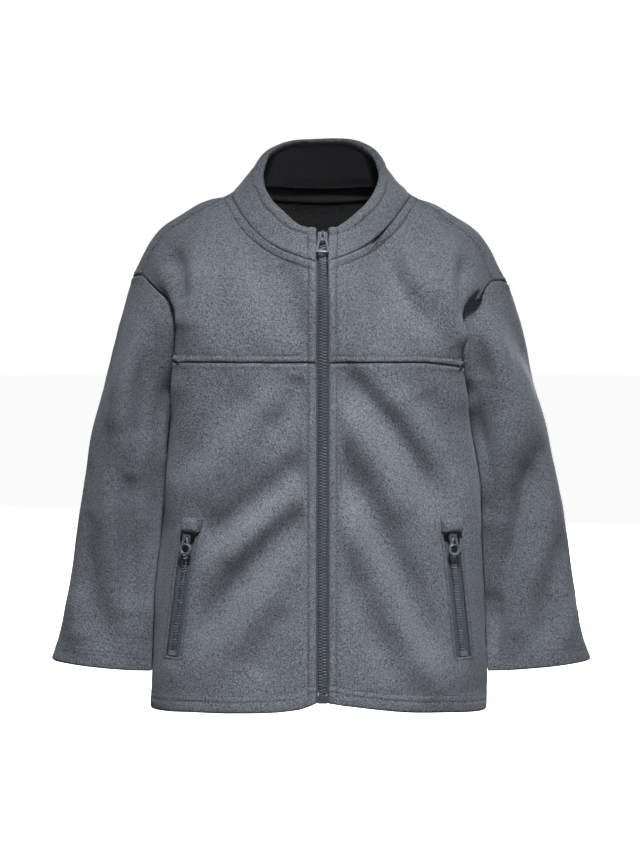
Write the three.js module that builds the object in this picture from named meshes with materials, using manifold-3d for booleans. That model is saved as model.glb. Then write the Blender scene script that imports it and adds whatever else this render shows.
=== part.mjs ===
import * as THREE from 'three';
import { mergeVertices } from 'three/addons/utils/BufferGeometryUtils.js';
import Module from 'manifold-3d';

const wasm = await Module();
wasm.setup();

// Fleece zip jacket, filled out as worn. Millimetres, +Z up, front toward -Y.
// The origin lies between the shoulders at the level where the neck meets them.

const CLOTH = 2.2;
const SEAM_GAP = 0.3;
const ZIP_X = 1.4;
const ZIP_HALF_OPEN = 5.5;
const CHAIN_HALF = 3.4;
const CHAIN_THICK = 2.3;
const TAPE_THICK = 0.8;
const TAPE_LIFT = -3.3;
const COLLAR_THICK = 7;
const UNDERARM_Z = -190;
const YOKE_Z = -150.5;
const ROUNDNESS = 2.5;

const NECK_COLUMNS = 9;
const SHOULDER_COLUMNS = 8;
const BACK_NECK_COLUMNS = 7;
const FRONT_LAST = NECK_COLUMNS + SHOULDER_COLUMNS;
const BACK_LAST = BACK_NECK_COLUMNS + SHOULDER_COLUMNS;
const POCKET_COLUMN = 13;
const YOKE_ROWS = 10;
const BACK_TOP_ROWS = 12;
const SLEEVE_TOP_ROWS = 8;
const SLEEVE_ROWS = 15;

const FLEECE = { color: 0x6f7681, roughness: 0.95, metalness: 0 };
const TAPE = { color: 0x3a4350, roughness: 0.8, metalness: 0 };
const TEETH = { color: 0x4b5766, roughness: 0.35, metalness: 0.1 };
const PULLS = { color: 0x556372, roughness: 0.28, metalness: 0.3 };
const LABEL = { color: 0x111214, roughness: 0.6, metalness: 0 };

const LEFT = { name: 'left', sign: -1, front: 1, behind: 1, drop: 0, crest: [38, 84] };
const RIGHT = { name: 'right', sign: 1, front: 0.965, behind: 1, drop: 5, crest: [22, 118] };

// Turns rows of numbers into records with named columns.
function table(names, rows) {
  return rows.map((row) => Object.fromEntries(names.map((name, i) => [name, row[i]])));
}

// Body sections: half widths, depths front and back, where the side is widest, the side seam.
const BODY = table(['z', 'left', 'right', 'front', 'back', 'wideY', 'seamY', 'inset'], [
  [-500, 163.5, 156.6, -97.5, 84, -16, 8, 0.4],
  [-440, 161, 157.4, -97, 84, -16, 8, 0.4],
  [-400, 158, 157, -96.5, 84, -17, 8, 0.5],
  [-350, 155, 155, -96, 84.5, -19, 8, 0.8],
  [-300, 151.5, 152.9, -95.5, 85, -22, 8, 1.4],
  [-250, 147.5, 148.4, -95, 86, -28, 8, 3],
  [-215, 144.4, 143.8, -94.5, 87, -36, 8, 6],
  [-190, 142.3, 140.6, -94, 87.5, -43, 8, 8],
  [-170, 140.6, 137.6, -93.6, 87.5, -50, 8, 8],
  [-150, 138.2, 134, -93, 87.5, -58, 8, 8],
  [-130, 136, 132.5, -92, 87.5, -60, 8, 8],
]);

// Height of the lower edge beside the nominal hem, by share of the width of a front.
const HEM = table(['share', 'left', 'right'], [
  [0, 9.5, 9.5],
  [0.12, 6.5, 8.5],
  [0.2, 3.5, 6.5],
  [0.3, 0.5, 4],
  [0.5, -1, 0],
  [0.75, -3, -3.5],
  [1, -8.5, -11],
]);

// Armhole from the underarm up the front to the shoulder seam.
const ARMHOLE_FRONT = table(['out', 'y', 'z'], [
  [134.5, 8, -190],
  [132.5, -12, -181],
  [129.5, -28, -167],
  [127, -38, -150.5],
  [126.3, -44.5, -128],
  [129.5, -48, -108],
  [138, -45, -97],
  [149.5, -36, -87.5],
  [161, -23, -78],
  [168.5, -13, -71],
]);

// Armhole from the shoulder seam over the shoulder and down the back.
const ARMHOLE_BACK = table(['out', 'y', 'z'], [
  [168.5, -13, -71],
  [180, 2, -72],
  [178, 22, -80],
  [168, 40, -94],
  [155, 53, -114],
  [145, 58, -138],
  [138, 48, -166],
  [134.5, 28, -184],
  [134.5, 8, -190],
]);

// Neck seam from the zip to the shoulder, then the shoulder seam to its outer end.
const NECK_FRONT = table(['out', 'y', 'z'], [
  [4.1, -86, -58],
  [25.7, -76.5, -51.5],
  [45.3, -62, -42.5],
  [63.3, -42, -28.4],
  [76.4, -22, -12],
  [84, -8, 3],
]);
const SHOULDER = table(['out', 'y', 'z'], [
  [84, -8, 3],
  [104, -10, -7.5],
  [125, -12, -19.4],
  [147, -13.5, -31.5],
  [158, -14, -47],
  [168.5, -13, -71],
]);
const NECK_BACK = table(['out', 'y', 'z'], [
  [0, 66, 6],
  [28, 63.5, 7],
  [54, 52.5, 9.5],
  [73, 34, 11],
  [82.5, 12, 9],
  [84, -8, 3],
]);

// Rim of the collar, as a share of the way from the zip round to the middle of the back.
const RIM = table(['share', 'out', 'y', 'z'], [
  [0, 5.5, -64, -27.5],
  [0.14, 22, -58.5, -23],
  [0.28, 38, -44, -10],
  [0.38, 48.5, -27, 1],
  [0.46, 54.5, -8, 17],
  [0.54, 57, 9, 32],
  [0.64, 55, 27, 45],
  [0.76, 44, 45, 54],
  [0.88, 27, 57, 58.8],
  [1, 0, 62, 59.6],
]);

// Sleeve sections below the underarm: gap to the body, outer side, half depth, middle and
// rise toward the outside.
const SLEEVE = table(['z', 'clear', 'outer', 'depth', 'y', 'rise'], [
  [-236, 0.7, 219.8, 51, 5, 2],
  [-270, 0.7, 225, 46, 4, 4],
  [-313, 0.7, 232.2, 40, 3, 6],
  [-350, 0.8, 238, 35, 2, 8],
  [-394, 0.9, 245, 30, 0, 9.5],
  [-425, 0.9, 251.4, 27, -2, 10.5],
  [-442, 1, 258, 26, -3, 11],
]);

// Direction in which the sleeve leaves the armhole, round from the underarm over the front.
const SLEEVE_HEAD = table(['share', 'out', 'y', 'z', 'reach'], [
  [0, 0.9, 0, -0.4, 0.32],
  [0.08, 0.96, 0.12, -0.25, 0.34],
  [0.16, 0.97, 0.1, -0.25, 0.34],
  [0.25, 0.93, 0, -0.36, 0.32],
  [0.36, 0.74, -0.2, -0.62, 0.32],
  [0.44, 0.5, -0.28, -0.8, 0.3],
  [0.54, 0.32, 0, -0.94, 0.36],
  [0.66, 0.35, 0.35, -0.87, 0.35],
  [0.82, 0.75, 0.3, -0.55, 0.32],
  [1, 0.9, 0, -0.4, 0.32],
]);

// Soft creases across the body: ends, depth (negative sinks) and half width.
const FRONT_FOLDS = table(['x0', 'z0', 'x1', 'z1', 'depth', 'width'], [
  [18, -165, 46, -218, -2.2, 9],
  [46, -218, 96, -300, -2.4, 11],
  [24, -240, 60, -310, -2.4, 10],
  [60, -310, 118, -420, -2, 13],
  [-14, -185, -62, -280, -2.2, 11],
  [-62, -280, -112, -322, -1.8, 12],
  [-18, -250, -62, -340, -2.2, 12],
  [-62, -340, -98, -415, -1.8, 13],
  [88, -26, 70, -98, -3, 9],
  [126, -40, 128, -112, 2.2, 7],
  [134, -56, 132, -118, -1.8, 5],
  [-138, -44, -131, -92, -4, 9],
  [-110, -44, -104, -120, 1.6, 11],
  [-40, -88, -70, -140, -1.4, 10],
]);
const BACK_FOLDS = table(['x0', 'z0', 'x1', 'z1', 'depth', 'width'], [
  [-104, -70, -118, -170, -3, 11],
  [98, -66, 116, -176, -3.2, 12],
  [-58, -118, -30, -240, -2, 13],
  [60, -130, 36, -262, -2.2, 14],
  [-96, -250, -60, -380, -2.2, 14],
  [104, -262, 70, -396, -2, 13],
  [-10, -290, 14, -420, -1.8, 12],
]);

// Soft creases of a sleeve: share of the way round and mm below the shoulder, at both ends.
const SLEEVE_FOLDS = {
  left: table(['turn0', 'z0', 'turn1', 'z1', 'depth', 'width'], [
    [0.3, -120, 0.2, -260, -3.2, 12],
    [0.36, -210, 0.22, -350, -2.4, 12],
    [0.45, -150, 0.36, -240, -1.8, 11],
    [0.2, -330, 0.26, -425, -3, 13],
    [0.7, -130, 0.8, -250, -3, 13],
    [0.74, -270, 0.66, -390, -2.4, 13],
  ]),
  right: table(['turn0', 'z0', 'turn1', 'z1', 'depth', 'width'], [
    [0.32, -110, 0.22, -200, -3, 11],
    [0.38, -180, 0.3, -270, -2.2, 11],
    [0.38, -235, 0.2, -425, -4, 13],
    [0.16, -270, 0.12, -425, 1.8, 9],
    [0.7, -120, 0.78, -260, -3, 13],
    [0.76, -280, 0.66, -400, -2.6, 13],
  ]),
};

// Pocket openings: sides of the window at its top and bottom, sides of the zip garage in
// columns from the window's middle, and how far inward the pull hangs.
const POCKET_TOP = -310;
const POCKET_BOTTOM = -424;
const POCKET = {
  left: {
    innerTop: 116.8, outerTop: 131, innerLow: 132.2, outerLow: 146, garage: [-1, 0.4], hangIn: 0.7,
  },
  right: {
    innerTop: 113.5, outerTop: 128.5, innerLow: 126.3, outerLow: 141, garage: [-0.72, 0.62], hangIn: 0,
  },
};

const HEM_LEVELS = [-474, -465, -456, -449, -437];
const SIDE_LEVELS = [POCKET_BOTTOM, -402, -379, -356, -333, POCKET_TOP, -293, -270, -244, -217, UNDERARM_Z];
const CHEST_LEVELS = [-177, -165, -157.5, YOKE_Z];
const FRONT_LEVELS = [...HEM_LEVELS, ...SIDE_LEVELS, ...CHEST_LEVELS];
const UNDERARM_ROW = HEM_LEVELS.length + SIDE_LEVELS.length - 1;
const POCKET_LOW_ROW = HEM_LEVELS.length;
const POCKET_TOP_ROW = POCKET_LOW_ROW + 5;

const lerp = (a, b, t) => a + (b - a) * t;
const clamp01 = (t) => Math.min(1, Math.max(0, t));
const smooth = (t) => clamp01(t) ** 2 * (3 - 2 * clamp01(t));

// Slope of a column at a row of a table, for a smooth curve through the rows.
function slopeAt(rows, key, column, i) {
  const a = rows[Math.max(0, i - 1)];
  const b = rows[Math.min(rows.length - 1, i + 1)];
  return (b[column] - a[column]) / (b[key] - a[key]);
}

// Every column of a table at one value of its key column, on smooth curves.
function sample(rows, key, value) {
  const sense = Math.sign(rows[1][key] - rows[0][key]);
  let i = 0;
  while (i < rows.length - 2 && (rows[i + 1][key] - value) * sense < 0) i += 1;
  const span = rows[i + 1][key] - rows[i][key];
  const t = clamp01((value - rows[i][key]) / span);
  const result = {};
  for (const column of Object.keys(rows[0])) {
    const m0 = slopeAt(rows, key, column, i) * span;
    const m1 = slopeAt(rows, key, column, i + 1) * span;
    const rest = t * t * (3 - 2 * t);
    result[column] = rows[i][column] * (1 - rest) + rows[i + 1][column] * rest
      + m0 * t * (1 - t) ** 2 - m1 * t * t * (1 - t);
  }
  return result;
}

const sectionAt = (z) => sample(BODY, 'z', z);

// Smooth line through a table of points, as closely spaced points.
function curve(rows) {
  const control = rows.map((row) => new THREE.Vector3(row.out, row.y, row.z));
  return new THREE.CatmullRomCurve3(control, false, 'centripetal').getPoints(rows.length * 12);
}

function lengths(line) {
  const total = [0];
  for (let i = 1; i < line.length; i += 1) {
    total.push(total[i - 1] + line[i].distanceTo(line[i - 1]));
  }
  return total;
}

// Point of a line at a distance along it.
function walk(line, run, distance) {
  let i = 1;
  while (i < line.length - 1 && run[i] < distance) i += 1;
  const t = (distance - run[i - 1]) / (run[i] - run[i - 1] || 1);
  return line[i - 1].clone().lerp(line[i], clamp01(t));
}

// Distances at whole columns, straight between anchor pairs of column and distance.
function spread(anchors) {
  const result = [];
  for (let k = 1; k < anchors.length; k += 1) {
    const [c0, d0] = anchors[k - 1];
    const [c1, d1] = anchors[k];
    for (let c = c0; c < c1; c += 1) result.push(lerp(d0, d1, (c - c0) / (c1 - c0)));
  }
  result.push(anchors[anchors.length - 1][1]);
  return result;
}

// Moves a point given as distance outward to the side of the jacket it belongs to.
function place(side, p) {
  const fall = side.drop * smooth((p.x - 92) / 45) * smooth((p.z + 230) / 60);
  return new THREE.Vector3(side.sign * p.x, p.y, p.z - fall);
}

// A table of points with its distances outward set for one side.
const scaled = (side, rows) => rows.map((row) => (
  { ...row, out: row.out * (row.y < -10 ? side.front : side.behind) }));

// Seam point of a front at a height: the side seam, or the armhole above the underarm.
function frontEnd(side, z) {
  if (z <= UNDERARM_Z) {
    const b = sectionAt(z);
    return new THREE.Vector3(b[side.name] - b.inset, b.seamY, z);
  }
  const hole = curve(scaled(side, ARMHOLE_FRONT));
  const i = hole.findIndex((p) => p.z >= z);
  const a = hole[i - 1];
  return a.clone().lerp(hole[i], (z - a.z) / (hole[i].z - a.z));
}

// Front half of a level section, from the zip edge round to the seam.
function frontSection(side, z) {
  const b = sectionAt(z);
  const wide = b[side.name];
  const start = ZIP_HALF_OPEN + side.sign * ZIP_X;
  const end = frontEnd(side, z);
  const line = [new THREE.Vector3(start, b.front, z)];
  for (let i = 1; i <= 40; i += 1) {
    const a = (i / 40) * Math.PI / 2;
    const x = wide * Math.sin(a) ** (2 / ROUNDNESS);
    const y = b.wideY + (b.front - b.wideY) * Math.max(0, Math.cos(a)) ** (2 / ROUNDNESS);
    if (x > start + 1) line.push(new THREE.Vector3(x, y, z));
  }
  const turn = new THREE.Vector3(wide, lerp(b.wideY, end.y, 0.45), z);
  for (let i = 1; i <= 8; i += 1) {
    const t = i / 8;
    const p = line[line.length - 1].clone().set(wide, b.wideY, z).multiplyScalar((1 - t) ** 2);
    line.push(p.addScaledVector(turn, 2 * t * (1 - t)).addScaledVector(end, t * t));
  }
  return line;
}

// Distance along a section at which it first reaches a distance outward.
function reachOf(line, run, out) {
  const i = line.findIndex((p) => p.x >= out);
  if (i < 1) return i === 0 ? 0 : run[run.length - 1] - 30;
  return lerp(run[i - 1], run[i], (out - line[i - 1].x) / (line[i].x - line[i - 1].x));
}

function pocketEdges(side, z) {
  const edge = POCKET[side.name];
  const t = Math.max(-1.2, Math.min(1.3, (POCKET_TOP - z) / (POCKET_TOP - POCKET_BOTTOM)));
  return [lerp(edge.innerTop, edge.innerLow, t), lerp(edge.outerTop, edge.outerLow, t)];
}

// Point of a front at a column and nominal level.
function frontPoint(side, level, column) {
  const share = column / FRONT_LAST;
  const z = level + sample(HEM, 'share', share)[side.name] * smooth((-390 - level) / 84);
  const line = frontSection(side, z);
  const run = lengths(line);
  const total = run[run.length - 1];
  const [inner, outer] = pocketEdges(side, z).map((out) => reachOf(line, run, out));
  const stations = spread([
    [0, 0], [1, 3.8], [2, 7.6], [3, 12],
    [POCKET_COLUMN, inner], [POCKET_COLUMN + 1, outer], [FRONT_LAST, total],
  ]);
  return place(side, walk(line, run, stations[column]));
}

// Even or stepped points along a table's curve.
function along(side, rows, anchors) {
  const line = curve(scaled(side, rows));
  const run = lengths(line);
  const total = run[run.length - 1];
  return spread(anchors(total)).map((d) => place(side, walk(line, run, d)));
}

function neckFrontPoints(side) {
  const points = along(side, NECK_FRONT, (total) => [
    [0, 0], [1, 3.8], [2, 7.6], [3, 12], [NECK_COLUMNS, total],
  ]);
  points[0].x = side.sign * (ZIP_HALF_OPEN + side.sign * ZIP_X);
  return points;
}

const shoulderPoints = (side) => along(side, SHOULDER, (total) => [[0, 0], [SHOULDER_COLUMNS, total]]);
const neckBackPoints = (side) => along(side, NECK_BACK, (total) => [[0, 0], [BACK_NECK_COLUMNS, total]]);

// Armhole points of the yoke rows, from the yoke seam up to the shoulder seam.
function yokeArmhole(side) {
  const line = curve(scaled(side, ARMHOLE_FRONT)).filter((p) => p.z > YOKE_Z);
  line.unshift(frontEnd(side, YOKE_Z));
  const run = lengths(line);
  const total = run[run.length - 1];
  return spread([[0, 0], [YOKE_ROWS, total]]).map((d) => place(side, walk(line, run, d)));
}

// Armhole points of the back rows, from the underarm up to the shoulder seam.
function backArmhole(side) {
  const points = along(side, ARMHOLE_BACK, (total) => [[0, 0], [BACK_TOP_ROWS, total]]);
  return points.reverse();
}

function bezier(a, b, c, d, t) {
  const s = 1 - t;
  const p = a.clone().multiplyScalar(s ** 3);
  p.addScaledVector(b, 3 * s * s * t);
  p.addScaledVector(c, 3 * s * t * t);
  return p.addScaledVector(d, t ** 3);
}

// Lower front, from the hem to the yoke seam.
function lowerFrontGrid(side) {
  return FRONT_LEVELS.map((level) => {
    const row = [];
    for (let j = 0; j <= FRONT_LAST; j += 1) row.push(frontPoint(side, level, j));
    return row;
  });
}

// Front yoke, from the yoke seam to the neck and shoulder seams.
function yokeGrid(side, base) {
  const top = [...neckFrontPoints(side), ...shoulderPoints(side).slice(1)];
  const hole = yokeArmhole(side);
  const rows = [];
  for (let i = 0; i <= YOKE_ROWS; i += 1) {
    const v = i / YOKE_ROWS;
    const row = top.map((t, j) => {
      const rise = t.distanceTo(base[j]);
      const shoulder = smooth((j - NECK_COLUMNS + 3) / 5);
      const up = base[j].clone().add(new THREE.Vector3(0, -3, rise * 0.42));
      const fall = new THREE.Vector3(0, lerp(-0.16, -0.3, shoulder), lerp(-0.3, -0.2, shoulder));
      return bezier(base[j], up, t.clone().addScaledVector(fall, rise), t, v);
    });
    const shift = hole[i].clone().sub(row[FRONT_LAST]);
    rows.push(row.map((p, j) => p.addScaledVector(shift, (j / FRONT_LAST) ** 5)));
  }
  return rows;
}

// Half of the back below the underarm at one level, from the middle to the side seam.
function backRow(side, level) {
  const z = level + sample(HEM, 'share', 1)[side.name] * smooth((-390 - level) / 84);
  const end = frontEnd(side, Math.min(z, UNDERARM_Z));
  const b = sectionAt(z);
  const line = [];
  for (let i = 0; i <= 40; i += 1) {
    const a = (i / 40) * Math.PI / 2;
    const x = end.x * Math.sin(a) ** (2 / ROUNDNESS);
    const y = end.y + (b.back - end.y) * Math.max(0, Math.cos(a)) ** (2 / ROUNDNESS);
    line.push(new THREE.Vector3(x, y, z));
  }
  const run = lengths(line);
  const total = run[run.length - 1];
  return spread([[0, 0], [BACK_LAST, total]]).map((d) => place(side, walk(line, run, d)));
}

// Upper half of the back, from the underarm over the shoulder to its seam.
function backTopRows(side, base) {
  const top = [...neckBackPoints(side), ...shoulderPoints(side).slice(1)];
  const hole = backArmhole(side);
  const rows = [];
  for (let i = 1; i <= BACK_TOP_ROWS; i += 1) {
    const v = 1 - (1 - i / BACK_TOP_ROWS) ** 1.15;
    const row = top.map((t, j) => {
      const rise = t.z - base[j].z;
      const past = j - BACK_NECK_COLUMNS;
      const shoulder = smooth((past + 5) / 6);
      const crest = lerp(...side.crest, clamp01(past / SHOULDER_COLUMNS)) * smooth((past + 0.6) / 2.4);
      const up = base[j].clone().add(new THREE.Vector3(0, 6, rise * 0.5));
      const aside = side.sign * 15 * Math.exp(-(((past + 0.4) / 2.2) ** 2));
      const over = new THREE.Vector3(aside, lerp(10, 30, shoulder), lerp(-46, 0, shoulder) + crest);
      return bezier(base[j], up, t.clone().add(over), t, v);
    });
    const shift = hole[i].clone().sub(row[BACK_LAST]);
    rows.push(row.map((p, j) => p.addScaledVector(shift, (j / BACK_LAST) ** 5)));
  }
  return rows;
}

// Whole back as one grid, its columns running from the left side to the right.
function backGrid() {
  const levels = FRONT_LEVELS.slice(0, UNDERARM_ROW + 1);
  const halves = [LEFT, RIGHT].map((side) => {
    const lower = levels.map((level) => backRow(side, level));
    return [...lower, ...backTopRows(side, lower[lower.length - 1])];
  });
  return halves[0].map((row, i) => [...row.slice(1).reverse(), ...halves[1][i]]);
}

// How far a soft crease moves the cloth at a place, by its distance from the crease line.
function creaseAt(fold, x, z) {
  const along2 = new THREE.Vector2(fold.x1 - fold.x0, fold.z1 - fold.z0);
  const from = new THREE.Vector2(x - fold.x0, z - fold.z0);
  const t = clamp01(from.dot(along2) / along2.lengthSq());
  const away = from.addScaledVector(along2, -t).length() / fold.width;
  return fold.depth * Math.exp(-away * away) * smooth(Math.sin(Math.PI * lerp(0.12, 0.88, t)) * 1.4);
}

const creases = (folds, p) => folds.reduce((sum, fold) => sum + creaseAt(fold, p.x, p.z), 0);

// Raised band beside the zip, at the hem and above the yoke seam.
function frontBand(level, column) {
  const zip = [0, 1.1, -0.3, 0.2][column] ?? 0;
  const hem = { [-465]: 0.9, [-456]: -0.5, [-449]: 0.2 }[level] ?? 0;
  return zip + hem * (column > 1 ? 1 : 0.4);
}

// Key under which points of neighbouring grids at one place share their normals.
const keyOf = (p) => [p.x, p.y, p.z].map((v) => Math.round(v * 50)).join(' ');

// Normal of every grid point, unweighted over the cells around it.
function gridNormals(grid, closed) {
  const rows = grid.length;
  const columns = grid[0].length;
  return grid.map((row, i) => row.map((p, j) => {
    const a = grid[Math.max(0, i - 1)][j];
    const b = grid[Math.min(rows - 1, i + 1)][j];
    const before = closed ? (j + columns - 1) % columns : Math.max(0, j - 1);
    const after = closed ? (j + 1) % columns : Math.min(columns - 1, j + 1);
    const up = b.clone().sub(a);
    return row[after].clone().sub(row[before]).cross(up).normalize();
  }));
}

// A surface of the garment: outer points, their normals and whether its columns close up.
class Cloth {
  constructor(grid, closed = false, flip = false) {
    this.grid = grid;
    this.closed = closed;
    this.flip = flip;
    this.refresh();
  }

  refresh() {
    this.normals = gridNormals(this.grid, this.closed);
    if (this.flip) this.normals.flat().forEach((n) => n.negate());
  }

  // Moves points along their normals by a function of row and column.
  displace(amount) {
    this.grid = this.grid.map((row, i) => row.map((p, j) => (
      p.clone().addScaledVector(this.normals[i][j], amount(i, j, p)))));
  }

  // Point and normal between grid lines.
  at(i, j) {
    const i0 = Math.min(this.grid.length - 2, Math.max(0, Math.floor(i)));
    const j0 = Math.min(this.grid[0].length - 2, Math.max(0, Math.floor(j)));
    const mix = (g) => {
      const low = g[i0][j0].clone().lerp(g[i0][j0 + 1], j - j0);
      return low.lerp(g[i0 + 1][j0].clone().lerp(g[i0 + 1][j0 + 1], j - j0), i - i0);
    };
    return { point: mix(this.grid), normal: mix(this.normals).normalize() };
  }
}

// Averages normals where surfaces meet, so that their seams stay parallel.
function shareNormals(cloths) {
  const sums = new Map();
  const each = (visit) => cloths.forEach((cloth) => cloth.grid.forEach((row, i) => {
    row.forEach((p, j) => visit(cloth, i, j, keyOf(p)));
  }));
  each((cloth, i, j, key) => {
    if (!sums.has(key)) sums.set(key, new THREE.Vector3());
    sums.get(key).add(cloth.normals[i][j]);
  });
  each((cloth, i, j, key) => {
    cloth.normals[i][j] = sums.get(key).clone().normalize();
  });
}

// Turns the cloth edges along the zip square to it.
function squareEdge(cloth, bothEnds) {
  cloth.normals.forEach((row) => {
    row[0].setX(0).normalize();
    if (bothEnds) row[row.length - 1].setX(0).normalize();
  });
}

// Outer points drawn back from open edges by half the seam gap.
function inset(cloth, gap) {
  const { grid, closed } = cloth;
  const rows = grid.length;
  const columns = grid[0].length;
  const pull = (p, inner) => p.addScaledVector(inner.clone().sub(p).normalize(), gap / 2);
  return grid.map((row, i) => row.map((p, j) => {
    const q = p.clone();
    if (i === 0) pull(q, grid[1][j]);
    if (i === rows - 1) pull(q, grid[rows - 2][j]);
    if (!closed && j === 0) pull(q, row[1]);
    if (!closed && j === columns - 1) pull(q, row[columns - 2]);
    return q;
  }));
}

// Closed thin solid on a grid, leaving out the cells named as open.
function shell(cloth, thick, { gap = SEAM_GAP, lift = 0, open = () => false } = {}) {
  const outer = inset(cloth, gap);
  const rows = outer.length;
  const columns = outer[0].length;
  const cells = cloth.closed ? columns : columns - 1;
  const position = [];
  for (const depth of [lift, lift - thick]) {
    outer.forEach((row, i) => row.forEach((p, j) => {
      const q = p.clone().addScaledVector(cloth.normals[i][j], depth);
      position.push(q.x, q.y, q.z);
    }));
  }
  const count = rows * columns;
  const id = (i, j, layer) => layer * count + i * columns + (j % columns);
  const index = [];
  const quad = (a, b, c, d) => {
    if (cloth.flip) index.push(a, c, b, a, d, c);
    else index.push(a, b, c, a, c, d);
  };
  const kept = (i, j) => {
    if (i < 0 || i >= rows - 1) return false;
    if (!cloth.closed && (j < 0 || j >= cells)) return false;
    return !open(i, (j + cells) % cells);
  };
  for (let i = 0; i < rows - 1; i += 1) {
    for (let j = 0; j < cells; j += 1) {
      if (!kept(i, j)) continue;
      const [a, b, c, d] = [[i, j], [i, j + 1], [i + 1, j + 1], [i + 1, j]];
      quad(id(...a, 0), id(...b, 0), id(...c, 0), id(...d, 0));
      quad(id(...d, 1), id(...c, 1), id(...b, 1), id(...a, 1));
      const edges = [[i - 1, j, a, b], [i, j + 1, b, c], [i + 1, j, c, d], [i, j - 1, d, a]];
      for (const [ni, nj, p, q] of edges) {
        if (!kept(ni, nj)) quad(id(...q, 0), id(...p, 0), id(...p, 1), id(...q, 1));
      }
    }
  }
  const geometry = new THREE.BufferGeometry();
  geometry.setAttribute('position', new THREE.Float32BufferAttribute(position, 3));
  geometry.setIndex(index);
  return geometry;
}

function solid(name, geometry, look) {
  geometry.deleteAttribute('uv');
  geometry.computeVertexNormals();
  const mesh = new THREE.Mesh(geometry, new THREE.MeshStandardMaterial({ ...look, side: THREE.FrontSide }));
  mesh.name = name;
  return mesh;
}

// Lines of a patch: its two ends and the grid lines between them.
function linesBetween(from, to) {
  const inner = [];
  for (let i = Math.ceil(from + 0.02); i < to - 0.02; i += 1) inner.push(i);
  return [from, ...inner, to];
}

// Part of a cloth surface between fractional rows and columns.
function patch(cloth, rows, columns) {
  const cells = linesBetween(...rows).map((i) => linesBetween(...columns).map((j) => cloth.at(i, j)));
  const result = new Cloth(cells.map((row) => row.map((cell) => cell.point)), false, cloth.flip);
  result.normals = cells.map((row) => row.map((cell) => cell.normal));
  return result;
}

// Loop of armhole points, from the underarm up the front and down the back.
function armholeLoop(side, front, yoke, back) {
  const last = side.sign < 0 ? 0 : back[0].length - 1;
  const loop = [];
  for (let i = UNDERARM_ROW; i < front.length; i += 1) loop.push(front[i][FRONT_LAST]);
  for (let i = 1; i <= YOKE_ROWS; i += 1) loop.push(yoke[i][FRONT_LAST]);
  for (let i = back.length - 2; i > UNDERARM_ROW; i -= 1) loop.push(back[i][last]);
  return loop.map((p) => p.clone());
}

// Section of a sleeve at a level, its points matched to those of the armhole.
function sleeveSection(side, z, count, top) {
  const s = sample(SLEEVE, 'z', z);
  const inner = sectionAt(z)[side.name] + s.clear;
  const middle = (inner + s.outer) / 2;
  const half = (s.outer - inner) / 2;
  const ring = [];
  for (let c = 0; c < count; c += 1) {
    const turn = c <= top ? (c / top) * Math.PI : Math.PI * (1 + (c - top) / (count - top));
    const wave = (v) => Math.sign(v) * Math.abs(v) ** 0.9;
    const out = middle - half * wave(Math.cos(turn));
    const y = s.y - s.depth * wave(Math.sin(turn));
    ring.push(new THREE.Vector3(side.sign * out, y, z - (Math.cos(turn) * s.rise) / 2));
  }
  return ring;
}

// Sleeve from the armhole down to the cuff, closed round the arm.
function sleeveGrid(side, loop, top) {
  const first = SLEEVE[0].z;
  const cuff = SLEEVE[SLEEVE.length - 1].z;
  const ring = sleeveSection(side, first, loop.length, top);
  const below = sleeveSection(side, first - 30, loop.length, top);
  const rows = [loop];
  for (let i = 1; i <= SLEEVE_TOP_ROWS; i += 1) {
    const t = i / SLEEVE_TOP_ROWS;
    rows.push(loop.map((p, c) => {
      const head = sample(SLEEVE_HEAD, 'share', c / loop.length);
      const span = p.distanceTo(ring[c]);
      const leave = new THREE.Vector3(side.sign * head.out, head.y, head.z).normalize();
      const above = ring[c].clone().addScaledVector(ring[c].clone().sub(below[c]).normalize(), span * 0.3);
      return bezier(p, p.clone().addScaledVector(leave, span * head.reach), above, ring[c], t);
    }));
  }
  for (let i = 1; i <= SLEEVE_ROWS; i += 1) {
    const t = i / SLEEVE_ROWS;
    rows.push(sleeveSection(side, lerp(first, cuff, t), loop.length, top));
  }
  return rows;
}

function sleeveCrease(side, share, p, row) {
  const start = smooth((row - 1) / 4);
  const sum = SLEEVE_FOLDS[side.name].reduce((total, fold) => {
    const scale = 230;
    const line = { ...fold, x0: fold.turn0 * scale, x1: fold.turn1 * scale };
    return total + creaseAt(line, share * scale, p.z);
  }, 0);
  return sum * start;
}

// Neck loop from the zip over the left shoulder, round the back to the zip again.
function neckLoop(yokes, back) {
  const top = back[back.length - 1];
  const middle = (top.length - 1) / 2;
  const left = yokes[0][YOKE_ROWS].slice(0, NECK_COLUMNS);
  const right = yokes[1][YOKE_ROWS].slice(0, NECK_COLUMNS).reverse();
  const behind = top.slice(middle - BACK_NECK_COLUMNS, middle + BACK_NECK_COLUMNS + 1);
  return [...left, ...behind, ...right].map((p) => p.clone());
}

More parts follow.
